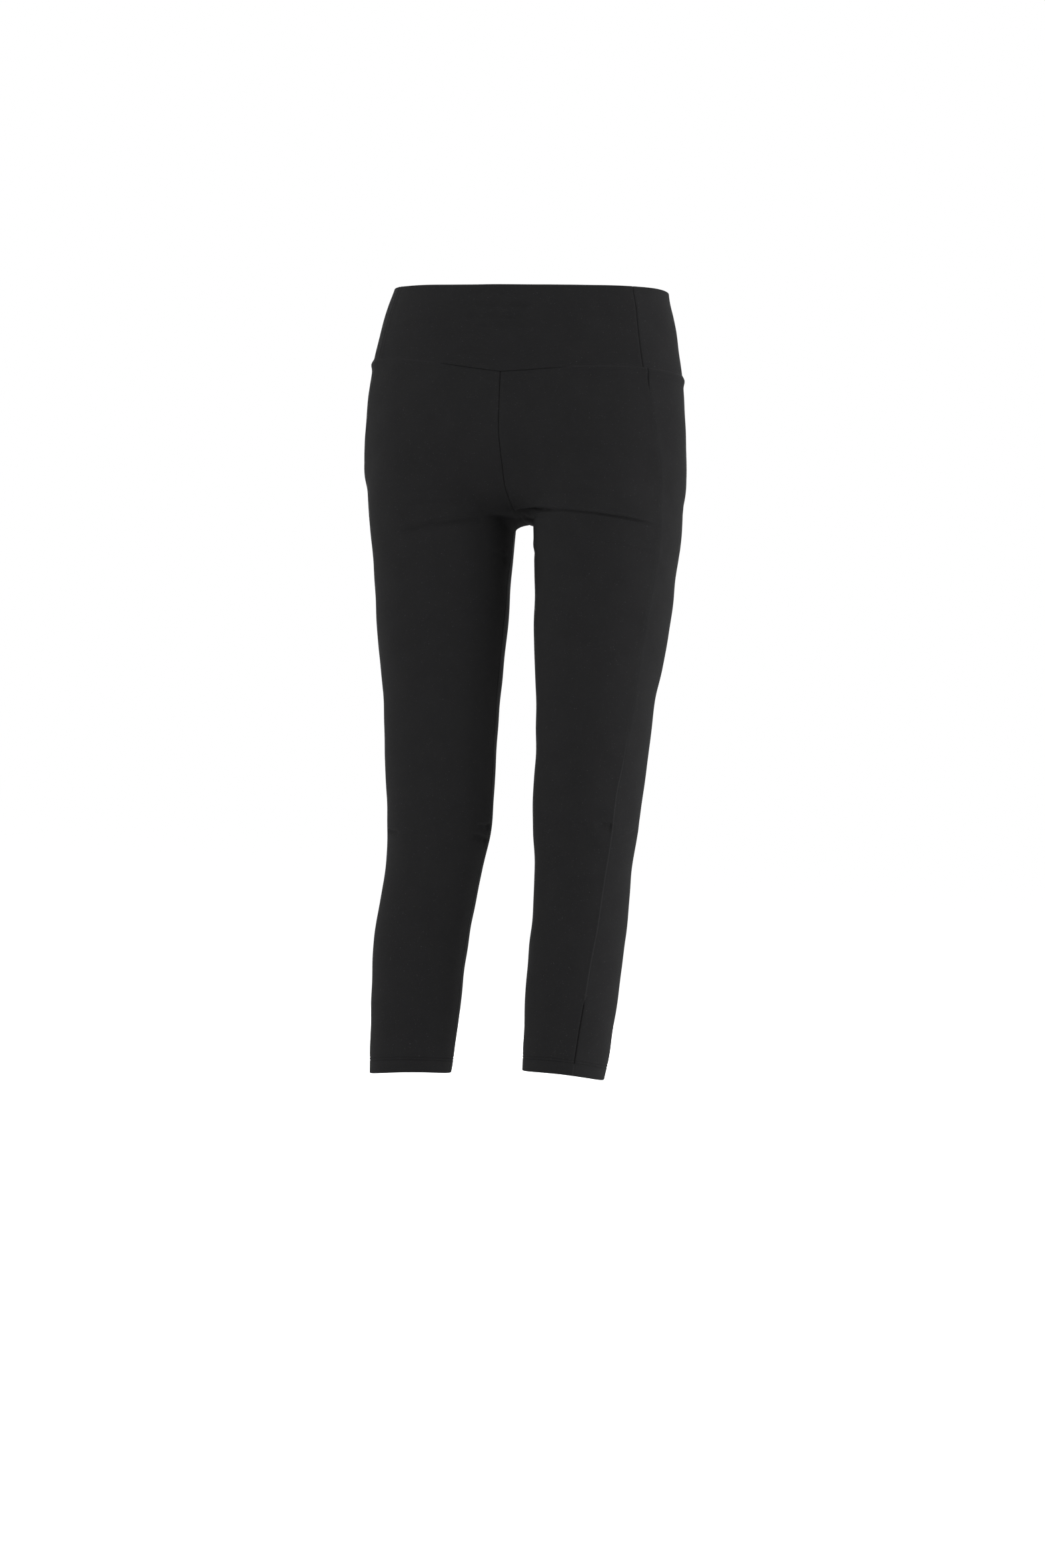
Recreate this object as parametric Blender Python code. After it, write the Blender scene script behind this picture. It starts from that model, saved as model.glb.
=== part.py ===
"""Seven-eighths leggings with a wide, double-layer waistband, filled out and hollow.

Metres, +Z up. The front faces -Y and the wearer's left is +X. The origin is the centre of the
waist opening, level with its top edge. Each cut piece is a closed cloth wall: its outer skin is
worked out from short tables of body sections, and its inner skin lies one wall thickness inside.
"""

import math

import bmesh
import bpy
import numpy as np

# Cloth
ONE_LAYER = 0.0014
TWO_LAYERS = 0.0026
SEAM_GAP = 0.0003
EDGE_ROUND = 0.0010

# Heights, measured up from the waist opening
TOP_EDGE = 0.0
TOP_TILT = 0.027
TOP_RISE = 0.0042
WAIST_SEAM_CENTRE_FRONT = -0.097
WAIST_SEAM_SIDE = -0.082
WAIST_SEAM_CENTRE_BACK = -0.092
CROTCH_BACK = 0.030
INSEAM_SETTLES = 0.090
SIDE_ROW_AT_CROTCH = -0.285
HEM = {1: -0.873, -1: -0.882}
HEM_TURN = 0.016
HEM_STEP = 0.0012

# Grid of each leg panel
RISE_ROWS = 10
LEG_ROWS = 22
FRONT_COLUMNS = 11
BACK_COLUMNS = 15
BAND_ROWS = 4

# Roundness of the sections, and how widely the legs run into the seat
SQUARE_BODY = 2.2
SQUARE_LEG = 2.1
BLEND_CROTCH = 0.036
BLEND_HIP = 0.016
BLEND_LEGS = 0.014
BLEND_REACH = 0.120
BELOW_CROTCH = 2.5

# How finely the form is searched
FARTHEST = 0.300
SEARCH_STEPS = 36
SLOPE_STEP = 0.0004
SEAT_CURVE_POINTS = 400
CROTCH_LOWEST = -0.290
CROTCH_HIGHEST = -0.200

# Row steps shrink towards the crotch point and settle along the leg
STEP_AT_CROTCH = 0.005
STEP_SIDE_AT_CROTCH = 0.010
STEP_LEG = 0.025
STEP_RISE = 0.024
STEP_EASE = 4.0
CLOSER_INSIDE = 1.2

# Where a fold fades out before the centre seam, and the angle past which an edge shades sharp
FOLD_CLEARANCE = 0.030
SHARP_EDGE = 50.0

JERSEY_BLACK = (0.0185, 0.0185, 0.019, 1.0)
JERSEY_ROUGHNESS = 0.82


def table(columns, *rows):
    """A dictionary from each column's name to its numbers, sorted by the first column."""
    numbers = np.array(sorted(rows)).T
    return dict(zip(columns.split(), numbers))


# The body of the garment: half its width, and where it is widest, foremost and rearmost
BODY = table(
    "height half_width widest front back",
    (0.0100, 0.1570, -0.002, -0.097, 0.091),
    (0.0000, 0.1587, -0.002, -0.098, 0.092),
    (-0.020, 0.1645, 0.000, -0.100, 0.094),
    (-0.050, 0.1716, 0.002, -0.098, 0.100),
    (-0.090, 0.1800, 0.005, -0.090, 0.110),
    (-0.130, 0.1852, 0.006, -0.087, 0.121),
    (-0.165, 0.1860, 0.007, -0.082, 0.125),
    (-0.195, 0.1818, 0.008, -0.067, 0.120),
    (-0.225, 0.1670, 0.012, -0.051, 0.103),
    (-0.240, 0.1400, 0.018, -0.032, 0.080),
    (-0.248, 0.0900, 0.026, -0.016, 0.056),
    (-0.252, 0.0300, 0.030, 0.004, 0.046),
)

# Each leg: its centre out from the middle and back from the origin, and its half sizes
LEG = table(
    "height out back half_width half_depth",
    (0.0000, 0.0700, 0.000, 0.0550, 0.0600),
    (-0.090, 0.0840, 0.004, 0.0720, 0.0750),
    (-0.160, 0.0940, 0.012, 0.0790, 0.0880),
    (-0.205, 0.0983, 0.017, 0.0823, 0.0955),
    (-0.256, 0.0983, 0.014, 0.0813, 0.0940),
    (-0.313, 0.0969, 0.011, 0.0769, 0.0880),
    (-0.380, 0.0945, 0.006, 0.0725, 0.0810),
    (-0.448, 0.0915, 0.003, 0.0660, 0.0730),
    (-0.515, 0.0895, 0.002, 0.0620, 0.0670),
    (-0.583, 0.0870, 0.004, 0.0590, 0.0610),
    (-0.650, 0.0885, 0.012, 0.0537, 0.0570),
    (-0.718, 0.0920, 0.018, 0.0525, 0.0570),
    (-0.763, 0.0920, 0.018, 0.0520, 0.0550),
    (-0.830, 0.0915, 0.015, 0.0490, 0.0500),
    (-0.885, 0.0905, 0.012, 0.0452, 0.0462),
)

# The stance: how far each level stands towards the wearer's left
SWAY = table(
    "height sideways",
    (0.0100, -0.0072),
    (0.0000, -0.0072),
    (-0.020, -0.0074),
    (-0.050, -0.0080),
    (-0.090, -0.0088),
    (-0.165, -0.0080),
    (-0.225, -0.0055),
    (-0.256, -0.0025),
    (-0.400, 0.0050),
    (-0.583, 0.0085),
    (-0.650, 0.0045),
    (-0.718, -0.0015),
    (-0.885, -0.0058),
)

# The side seams swing forward towards the hem: degrees in front of straight out from each leg
SIDE_SEAM = table(
    "height left right",
    (-0.082, 34.0, 28.5),
    (-0.131, 34.0, 27.0),
    (-0.195, 33.0, 24.0),
    (-0.250, 30.5, 22.0),
    (-0.291, 31.0, 21.0),
    (-0.352, 35.0, 20.5),
    (-0.473, 37.0, 20.0),
    (-0.559, 42.5, 20.0),
    (-0.628, 45.5, 21.0),
    (-0.709, 52.0, 22.5),
    (-0.788, 57.5, 24.0),
    (-0.885, 61.0, 26.0),
)
BAND_SEAM = table(
    "height left right",
    (0.0100, 40.5, 38.0),
    (-0.050, 39.5, 35.0),
    (-0.090, 36.8, 31.5),
)

# The largest folds, as soft troughs: side is +1 on the wearer's left
FOLDS = table(
    "side forward height length slope width depth",
    (1, 100.0, -0.2520, 0.110, -7.0, 0.010, 0.0018),
    (1, 130.0, -0.2450, 0.050, -10.0, 0.010, 0.0014),
    (-1, 105.0, -0.2560, 0.100, -9.0, 0.010, 0.0015),
    (-1, 120.0, -0.2350, 0.060, -5.0, 0.012, 0.0010),
)


def curve(sections, name, at):
    """A smooth line through one column of a table, with no overshoot between its rows."""
    heights, values = sections["height"], sections[name]
    gaps = np.diff(heights)
    secants = np.diff(values) / gaps
    slopes = np.concatenate([secants[:1], np.zeros(len(values) - 2), secants[-1:]])
    before, after = secants[:-1], secants[1:]
    rounded = (before * gaps[1:] + after * gaps[:-1]) / (gaps[1:] + gaps[:-1])
    limit = 3 * np.minimum(abs(before), abs(after))
    slopes[1:-1] = np.where(before * after > 0, np.clip(rounded, -limit, limit), 0)
    at = np.clip(at, heights[0], heights[-1])
    row = np.clip(np.searchsorted(heights, at) - 1, 0, len(gaps) - 1)
    t = (at - heights[row]) / gaps[row]
    ends = values[row] * (1 + 2 * t) * (1 - t) ** 2 + values[row + 1] * t * t * (3 - 2 * t)
    bends = slopes[row] * t * (1 - t) ** 2 + slopes[row + 1] * t * t * (t - 1)
    return ends + bends * gaps[row]


def smooth(t):
    """An S-shaped step from 0 to 1."""
    t = np.clip(t, 0, 1)
    return t * t * (3 - 2 * t)


def soft_least(first, second, width):
    """The lesser of two distances, rounded where they are within width of each other."""
    closeness = np.maximum(width - abs(first - second), 0) / width
    return np.minimum(first, second) - closeness**2 * width / 4


def outside_oval(x, y, half_width, half_depth, square, scale):
    """About how far a point lies outside a rounded oval, less than 0 inside it."""
    size = (abs(x / half_width) ** square + abs(y / half_depth) ** square) ** (2 / square)
    return (size - 1) / 2 * scale


def outside_garment(x, y, z):
    """How far a point lies outside the filled-out garment, before it sways."""
    widest, front, rear = (curve(BODY, name, z) for name in ("widest", "front", "back"))
    half_width = curve(BODY, "half_width", z)
    half_depth = np.where(y < widest, widest - front, rear - widest)
    scale = np.minimum(half_width, (rear - front) / 2)
    body = outside_oval(x, y - widest, half_width, half_depth, SQUARE_BODY, scale)
    body = body + BELOW_CROTCH * np.maximum(BODY["height"][0] - z, 0)
    out, back = curve(LEG, "out", z), curve(LEG, "back", z)
    sizes = curve(LEG, "half_width", z), curve(LEG, "half_depth", z), SQUARE_LEG
    left = outside_oval(x - out, y - back, *sizes, sizes[0])
    right = outside_oval(x + out, y - back, *sizes, sizes[0])
    middle = np.clip(1 - (x / BLEND_REACH) ** 2, 0, 1)
    width = BLEND_HIP + (BLEND_CROTCH - BLEND_HIP) * middle
    return soft_least(soft_least(left, right, BLEND_LEGS), body, width)


def search(inside, low, high):
    """The value between low and high where inside stops being true."""
    for _ in range(SEARCH_STEPS):
        middle = (low + high) / 2
        within = inside(middle)
        low, high = np.where(within, middle, low), np.where(within, high, middle)
    return low


def crotch_height():
    """The lowest point of the seat curve."""
    low, high = np.array(CROTCH_LOWEST), np.array(CROTCH_HIGHEST)
    return float(search(lambda z: outside_garment(0.0, CROTCH_BACK, z) > 0, low, high))


def centre_line(z, face):
    """How far back the centre front (face -1) or centre back (face +1) seam lies at a height."""
    start = np.zeros_like(z)
    return CROTCH_BACK + face * search(
        lambda d: outside_garment(0.0, CROTCH_BACK + face * d, z) < 0, start, start + FARTHEST
    )


def skin(angle, z):
    """The point of the outer skin in a direction from the leg's centre, on the wearer's left."""
    out, back = curve(LEG, "out", z), curve(LEG, "back", z)
    across, along = np.cos(angle), np.sin(angle)
    to_middle = out / np.maximum(-across, out / FARTHEST)
    reach = search(
        lambda r: outside_garment(out + r * across, back + r * along, z) < 0,
        np.zeros_like(to_middle),
        to_middle,
    )
    return np.stack([out + reach * across, back + reach * along, z + 0 * angle], -1)


def outward(points):
    """The direction out of the garment at each point of its skin."""
    slopes = []
    for axis in range(3):
        move = np.zeros(3)
        move[axis] = SLOPE_STEP
        ahead, behind = points + move, points - move
        slopes.append(outside_garment(*ahead.T).T - outside_garment(*behind.T).T)
    normal = np.stack(slopes, -1)
    return normal / np.linalg.norm(normal, axis=-1, keepdims=True)


def seat_curve(face, rows):
    """Points down the centre seam to the crotch, closer together towards the crotch."""
    top = WAIST_SEAM_CENTRE_FRONT if face < 0 else WAIST_SEAM_CENTRE_BACK
    fine = crotch_height() + (top - crotch_height()) * np.linspace(1, 0, SEAT_CURVE_POINTS) ** 2
    depth = centre_line(fine, face)
    depth[-1] = CROTCH_BACK
    length = np.concatenate([[0], np.cumsum(np.hypot(np.diff(fine), np.diff(depth)))])
    wanted = length[-1] * (1 - drops(STEP_AT_CROTCH, STEP_RISE, rows)[::-1])
    z = np.interp(wanted, length, fine)
    return np.interp(wanted, length, depth), z


def drops(first, last, rows):
    """Fractions from 0 to 1 whose steps grow from first towards last."""
    steps = last + (first - last) * np.exp(-np.arange(rows) / STEP_EASE)
    return np.concatenate([[0], np.cumsum(steps)]) / steps.sum()


def seam_angle(z, side, seam=SIDE_SEAM):
    """The side seam's direction from the leg's centre."""
    return -np.radians(curve(seam, "left" if side > 0 else "right", z))


def centre_angle(z, face):
    """The direction of the centre seam, or of the inside leg where the legs are apart."""
    crotch, back = crotch_height(), curve(LEG, "back", z)
    inseam = (CROTCH_BACK - back) * smooth(1 - (crotch - z) / INSEAM_SETTLES)
    across = np.where(z > crotch, centre_line(z, face) - back, inseam)
    return face * np.mod(face * np.arctan2(across, -curve(LEG, "out", z)), 2 * math.pi)


def band_share(share, side, face):
    """The waistband's share over a leg panel's share, as their side seams stand a little apart."""
    z = np.array(WAIST_SEAM_SIDE)
    start = centre_angle(z, face)
    return share * (seam_angle(z, side) - start) / (seam_angle(z, side, BAND_SEAM) - start)


def waist_seam(share, face):
    """The waist seam's height, from the centre line (share 0) to the band's side seam (share 1)."""
    share = np.clip(share, 0, 1)
    if face < 0:
        return WAIST_SEAM_CENTRE_FRONT + (WAIST_SEAM_SIDE - WAIST_SEAM_CENTRE_FRONT) * share
    return WAIST_SEAM_CENTRE_BACK + (WAIST_SEAM_SIDE - WAIST_SEAM_CENTRE_BACK) * smooth(share)


def shares(face):
    """Each column's place from the centre line (0) to the side seam (1), closer on the inside leg."""
    columns = FRONT_COLUMNS if face < 0 else BACK_COLUMNS
    return np.linspace(0, 1, columns + 1) ** CLOSER_INSIDE


def fold_depth(points, side):
    """How far the largest folds press the skin in."""
    out, back = curve(LEG, "out", points[..., 2]), curve(LEG, "back", points[..., 2])
    x, y = points[..., 0] - out, points[..., 1] - back
    around = np.degrees(np.arctan2(-y, x))
    depth = np.zeros(points.shape[:-1])
    for row in range(len(FOLDS["side"])):
        fold = {name: column[row] for name, column in FOLDS.items()}
        if fold["side"] != side:
            continue
        along = np.radians(around - fold["forward"]) * np.hypot(x, y)
        rise = points[..., 2] - fold["height"]
        slope = math.radians(fold["slope"])
        length = along * math.cos(slope) + rise * math.sin(slope)
        across = rise * math.cos(slope) - along * math.sin(slope)
        ends = np.clip(1 - (2 * length / fold["length"]) ** 2, 0, 1) ** 2
        depth += fold["depth"] * ends * np.exp(-((across / fold["width"]) ** 2))
    return depth * np.clip(points[..., 0] / FOLD_CLEARANCE, 0, 1)


def both_skins(points, thickness, side):
    """The outer and inner skins at points of the wearer's left half, put on their own side."""
    normal = outward(points)
    pressed = fold_depth(points, side)[..., None]
    skins = []
    for inset in (0.0, 1.0):
        moved = points - normal * (pressed + inset * thickness)
        moved[..., 0] = side * moved[..., 0] + curve(SWAY, "sideways", points[..., 2])
        skins.append(moved)
    return skins


def wall(name, outer, inner):
    """A closed cloth wall between two grids of points."""
    rows, columns = outer.shape[:2]
    mesh = bmesh.new()
    grids = []
    for grid in (outer, inner):
        grids.append([[mesh.verts.new(point) for point in line] for line in grid])
    for grid in grids:
        for i in range(rows - 1):
            for j in range(columns - 1):
                mesh.faces.new((grid[i][j], grid[i + 1][j], grid[i + 1][j + 1], grid[i][j + 1]))
    rim = [(i, 0) for i in range(rows)] + [(rows - 1, j) for j in range(1, columns)]
    rim += [(i, columns - 1) for i in range(rows - 2, -1, -1)]
    rim += [(0, j) for j in range(columns - 2, 0, -1)]
    for (i, j), (k, m) in zip(rim, rim[1:] + rim[:1]):
        mesh.faces.new((grids[0][i][j], grids[0][k][m], grids[1][k][m], grids[1][i][j]))
    bmesh.ops.recalc_face_normals(mesh, faces=mesh.faces)
    data = bpy.data.meshes.new(name)
    mesh.to_mesh(data)
    mesh.free()
    data.shade_smooth()
    data.set_sharp_from_angle(angle=math.radians(SHARP_EDGE))
    piece = bpy.data.objects.new(name, data)
    bpy.context.scene.collection.objects.link(piece)
    data.materials.append(jersey(name))
    return piece


def jersey(name):
    """Matt black stretch jersey."""
    material = bpy.data.materials.new(name + "_jersey")
    material.use_nodes = True
    shader = material.node_tree.nodes["Principled BSDF"]
    shader.inputs["Base Color"].default_value = JERSEY_BLACK
    shader.inputs["Roughness"].default_value = JERSEY_ROUGHNESS
    shader.inputs["Metallic"].default_value = 0.0
    return material


def leg_panel(name, side, face):
    """One front (face -1) or back (face +1) panel, from the waist seam to the turned hem."""
    share = shares(face)
    crotch = crotch_height()
    depth, rise = seat_curve(face, RISE_ROWS)
    hem = HEM[side]
    hem_top = hem + HEM_TURN
    inseam = crotch + (hem_top - crotch) * drops(STEP_AT_CROTCH, STEP_LEG, LEG_ROWS)[1:]
    down = drops(STEP_SIDE_AT_CROTCH, STEP_RISE, RISE_ROWS)
    side_rise = WAIST_SEAM_SIDE + (SIDE_ROW_AT_CROTCH - WAIST_SEAM_SIDE) * (1 - down[::-1])
    side_leg = drops(STEP_SIDE_AT_CROTCH, STEP_LEG, LEG_ROWS)[1:]
    side_leg = SIDE_ROW_AT_CROTCH + (hem_top - SIDE_ROW_AT_CROTCH) * side_leg
    turn = np.array([hem_top - HEM_STEP, (hem_top + hem) / 2, hem])
    thickness = np.full(len(turn) + RISE_ROWS + LEG_ROWS + 1, ONE_LAYER)
    thickness[RISE_ROWS + LEG_ROWS + 1 :] = TWO_LAYERS
    inner_z = np.concatenate([rise, inseam, turn])
    side_z = np.concatenate([side_rise, side_leg, turn])
    z = inner_z[:, None] + (side_z - inner_z)[:, None] * share
    z[0] = waist_seam(band_share(share, side, face), face) - SEAM_GAP / 2
    on_rise = slice(0, RISE_ROWS + 1)
    first = abs(centre_angle(inner_z, face))[:, None]
    start = face * np.minimum(first, abs(centre_angle(z, face)))
    points = skin(start + (seam_angle(z, side) - start) * share, z)
    points[on_rise, 0] = np.stack([np.zeros_like(rise), depth, rise], -1)
    points[0, 0, 2] = z[0, 0]
    points[on_rise, 0, 0] += SEAM_GAP / 2
    points[RISE_ROWS:, 0, 1] += face * SEAM_GAP / 2
    part_at_side_seam(points)
    wall(name, *both_skins(points, thickness[:, None, None], side))


def part_at_side_seam(points):
    """Draws the last column back from its neighbour by half the seam gap."""
    along = points[:, -1] - points[:, -2]
    points[:, -1] -= SEAM_GAP / 2 * along / np.linalg.norm(along, axis=-1, keepdims=True)


def waistband(name, face):
    """The front or back waistband: two layers with a folded top edge, from side seam to side seam."""
    share = shares(face)
    bottom = waist_seam(share, face) + SEAM_GAP / 2
    halves = {}
    for side in (1, -1):
        x = curve(BODY, "half_width", 0.0) * share * side
        top = TOP_EDGE + TOP_TILT * x + TOP_RISE * share**2 - EDGE_ROUND
        up = np.linspace(0, 1, BAND_ROWS + 1)[:, None]
        z = np.concatenate([bottom + (top - bottom) * up, top[None] + EDGE_ROUND])
        start = centre_angle(z, face)
        points = skin(start + (seam_angle(z, side, BAND_SEAM) - start) * share, z)
        points[:, 0, 0] = 0.0
        part_at_side_seam(points)
        outer, inner = both_skins(points, TWO_LAYERS, side)
        pinch = (outer[-1] - inner[-1]) * (EDGE_ROUND / TWO_LAYERS)
        outer[-1], inner[-1] = outer[-1] - pinch, inner[-1] + pinch
        halves[side] = outer, inner
    skins = []
    for left, right in zip(halves[1], halves[-1]):
        skins.append(np.concatenate([right[:, :0:-1], left], axis=1))
    wall(name, *skins)


def main():
    for old in list(bpy.data.objects):
        bpy.data.objects.remove(old)
    waistband("waistband_front", -1)
    waistband("waistband_back", 1)
    for side, hand in ((1, "left"), (-1, "right")):
        leg_panel("front_" + hand, side, -1)
        leg_panel("back_" + hand, side, 1)


if __name__ == "__main__":
    main()
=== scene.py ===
"""Seven-eighths leggings in black stretch jersey, filled out and hollow, on a studio stage.

Metres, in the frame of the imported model: +Z up, the front faces -Y, the wearer's left is +X, and
the origin is the centre of the waist opening. Every cut piece is one sheet of cloth with its turned
edges, laid on the same form as its solid, with its creases, seams and stitch rows pressed into it.
"""

import math
from functools import lru_cache

import bpy
import numpy as np
from bpy.props import FloatProperty, FloatVectorProperty, IntProperty, PointerProperty
from mathutils import Matrix, Vector


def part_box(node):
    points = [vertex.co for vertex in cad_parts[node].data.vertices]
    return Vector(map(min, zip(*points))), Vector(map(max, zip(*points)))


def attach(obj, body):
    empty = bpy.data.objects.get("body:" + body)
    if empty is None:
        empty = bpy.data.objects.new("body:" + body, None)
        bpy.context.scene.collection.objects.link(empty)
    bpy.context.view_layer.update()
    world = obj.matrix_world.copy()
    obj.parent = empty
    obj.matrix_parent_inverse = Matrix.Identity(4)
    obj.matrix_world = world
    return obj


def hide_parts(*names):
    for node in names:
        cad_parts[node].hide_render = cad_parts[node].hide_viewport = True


bl_info = {
    "name": "Stretch Leggings",
    "version": (1, 0, 0),
    "blender": (4, 5, 0),
    "location": "3D View > Sidebar > Leggings",
    "description": "Builds a pair of seven-eighths stretch leggings with seams and stitching",
    "category": "Add Mesh",
}

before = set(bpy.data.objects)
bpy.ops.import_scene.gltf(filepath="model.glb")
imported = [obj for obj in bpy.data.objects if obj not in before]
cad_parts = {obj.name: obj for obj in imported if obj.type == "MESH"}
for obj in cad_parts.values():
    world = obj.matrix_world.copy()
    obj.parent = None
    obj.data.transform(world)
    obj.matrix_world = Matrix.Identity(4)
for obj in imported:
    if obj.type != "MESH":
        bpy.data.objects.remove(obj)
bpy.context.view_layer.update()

LEFT, RIGHT = 1, -1
FRONT, BACK = -1, 1
HAND = {LEFT: "left", RIGHT: "right"}
FACE = {FRONT: "front", BACK: "back"}
HEM = {side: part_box("front_" + HAND[side])[0].z for side in (LEFT, RIGHT)}

# Heights, measured up from the waist opening
TOP_TILT = 0.027
TOP_RISE = 0.0042
WAIST_SEAM_CENTRE_FRONT = -0.0957
WAIST_SEAM_SIDE = -0.082
WAIST_SEAM_BOW = 0.0029
WAIST_SEAM_CENTRE_BACK = -0.092
CROTCH_BACK = 0.030
INSEAM_SETTLES = 0.090
SIDE_ROW_AT_CROTCH = -0.285

# Roundness of the sections, and how widely the legs run into the seat
SQUARE_BODY = 2.2
SQUARE_LEG = 2.1
BLEND_CROTCH = 0.036
BLEND_HIP = 0.016
BLEND_LEGS = 0.014
BLEND_REACH = 0.120
BELOW_CROTCH = 2.5

# How finely the form is searched
FARTHEST = 0.300
SEARCH_STEPS = 32
SLOPE_STEP = 0.0004
SEAT_CURVE_POINTS = 400
ROW_POINTS = 72
CROTCH_LOWEST = -0.290
CROTCH_HIGHEST = -0.200


def table(columns, *rows):
    """A dictionary from each column's name to its numbers, sorted by the first column."""
    numbers = np.array(sorted(rows)).T
    return dict(zip(columns.split(), numbers))


# The body of the garment: half its width, and where it is widest, foremost and rearmost
BODY = table(
    "height half_width widest front back",
    (0.0100, 0.1570, -0.002, -0.097, 0.091),
    (0.0000, 0.1587, -0.002, -0.098, 0.092),
    (-0.020, 0.1645, 0.000, -0.100, 0.094),
    (-0.050, 0.1716, 0.002, -0.098, 0.100),
    (-0.090, 0.1800, 0.005, -0.090, 0.110),
    (-0.130, 0.1852, 0.006, -0.087, 0.121),
    (-0.165, 0.1860, 0.007, -0.082, 0.125),
    (-0.195, 0.1818, 0.008, -0.067, 0.120),
    (-0.225, 0.1670, 0.012, -0.051, 0.103),
    (-0.240, 0.1400, 0.018, -0.032, 0.080),
    (-0.248, 0.0900, 0.026, -0.016, 0.056),
    (-0.252, 0.0300, 0.030, 0.004, 0.046),
)

# Each leg: its centre out from the middle and back from the origin, and its half sizes
LEG = table(
    "height out back half_width half_depth",
    (0.0000, 0.0700, 0.000, 0.0550, 0.0600),
    (-0.090, 0.0840, 0.004, 0.0720, 0.0750),
    (-0.160, 0.0940, 0.012, 0.0790, 0.0880),
    (-0.205, 0.0983, 0.017, 0.0823, 0.0955),
    (-0.256, 0.0983, 0.014, 0.0813, 0.0940),
    (-0.313, 0.0969, 0.011, 0.0769, 0.0880),
    (-0.380, 0.0945, 0.006, 0.0725, 0.0810),
    (-0.448, 0.0915, 0.003, 0.0660, 0.0730),
    (-0.515, 0.0895, 0.002, 0.0620, 0.0670),
    (-0.583, 0.0870, 0.004, 0.0590, 0.0610),
    (-0.650, 0.0885, 0.012, 0.0537, 0.0570),
    (-0.718, 0.0920, 0.018, 0.0525, 0.0570),
    (-0.763, 0.0920, 0.018, 0.0520, 0.0550),
    (-0.830, 0.0915, 0.015, 0.0490, 0.0500),
    (-0.885, 0.0905, 0.012, 0.0452, 0.0462),
)

# The stance: how far each level stands towards the wearer's left
SWAY = table(
    "height sideways",
    (0.0100, -0.0072),
    (0.0000, -0.0072),
    (-0.020, -0.0074),
    (-0.050, -0.0080),
    (-0.090, -0.0088),
    (-0.165, -0.0080),
    (-0.225, -0.0055),
    (-0.256, -0.0025),
    (-0.400, 0.0050),
    (-0.583, 0.0085),
    (-0.650, 0.0045),
    (-0.718, -0.0015),
    (-0.885, -0.0058),
)

# The side seams swing forward towards the hem: degrees in front of straight out from each leg
SIDE_SEAM = table(
    "height left right",
    (-0.082, 34.0, 28.5),
    (-0.131, 34.0, 27.0),
    (-0.195, 33.0, 24.0),
    (-0.250, 30.5, 22.0),
    (-0.291, 31.0, 21.0),
    (-0.352, 35.0, 20.5),
    (-0.473, 37.0, 20.0),
    (-0.559, 42.5, 20.0),
    (-0.628, 45.5, 21.0),
    (-0.709, 52.0, 22.5),
    (-0.788, 57.5, 24.0),
    (-0.885, 61.0, 26.0),
)
BAND_SEAM = table(
    "height left right",
    (0.0100, 40.5, 38.0),
    (-0.050, 39.5, 35.0),
    (-0.090, 36.8, 31.5),
)

# How the side seams lie, in millimetres: pressed in where another seam or hem catches their
# allowance, proud where it's below 0, as from the knee down on the wearer's left, and a ridge
# behind them.
SIDE_SEAM_LIE = table(
    "height left right ridge",
    (-0.080, 0.80, 0.00, 0.20),
    (-0.095, 1.20, 0.00, 0.30),
    (-0.110, 0.05, 0.00, 0.35),
    (-0.480, 0.00, 0.00, 0.30),
    (-0.540, -0.45, 0.00, 0.15),
    (-0.782, -0.50, 0.10, 0.15),
    (-0.792, 1.40, 0.40, 0.20),
    (-0.857, 1.40, 0.50, 0.25),
    (-0.861, -0.20, 0.20, 0.25),
    (-0.885, -0.30, 0.20, 0.25),
)

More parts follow.
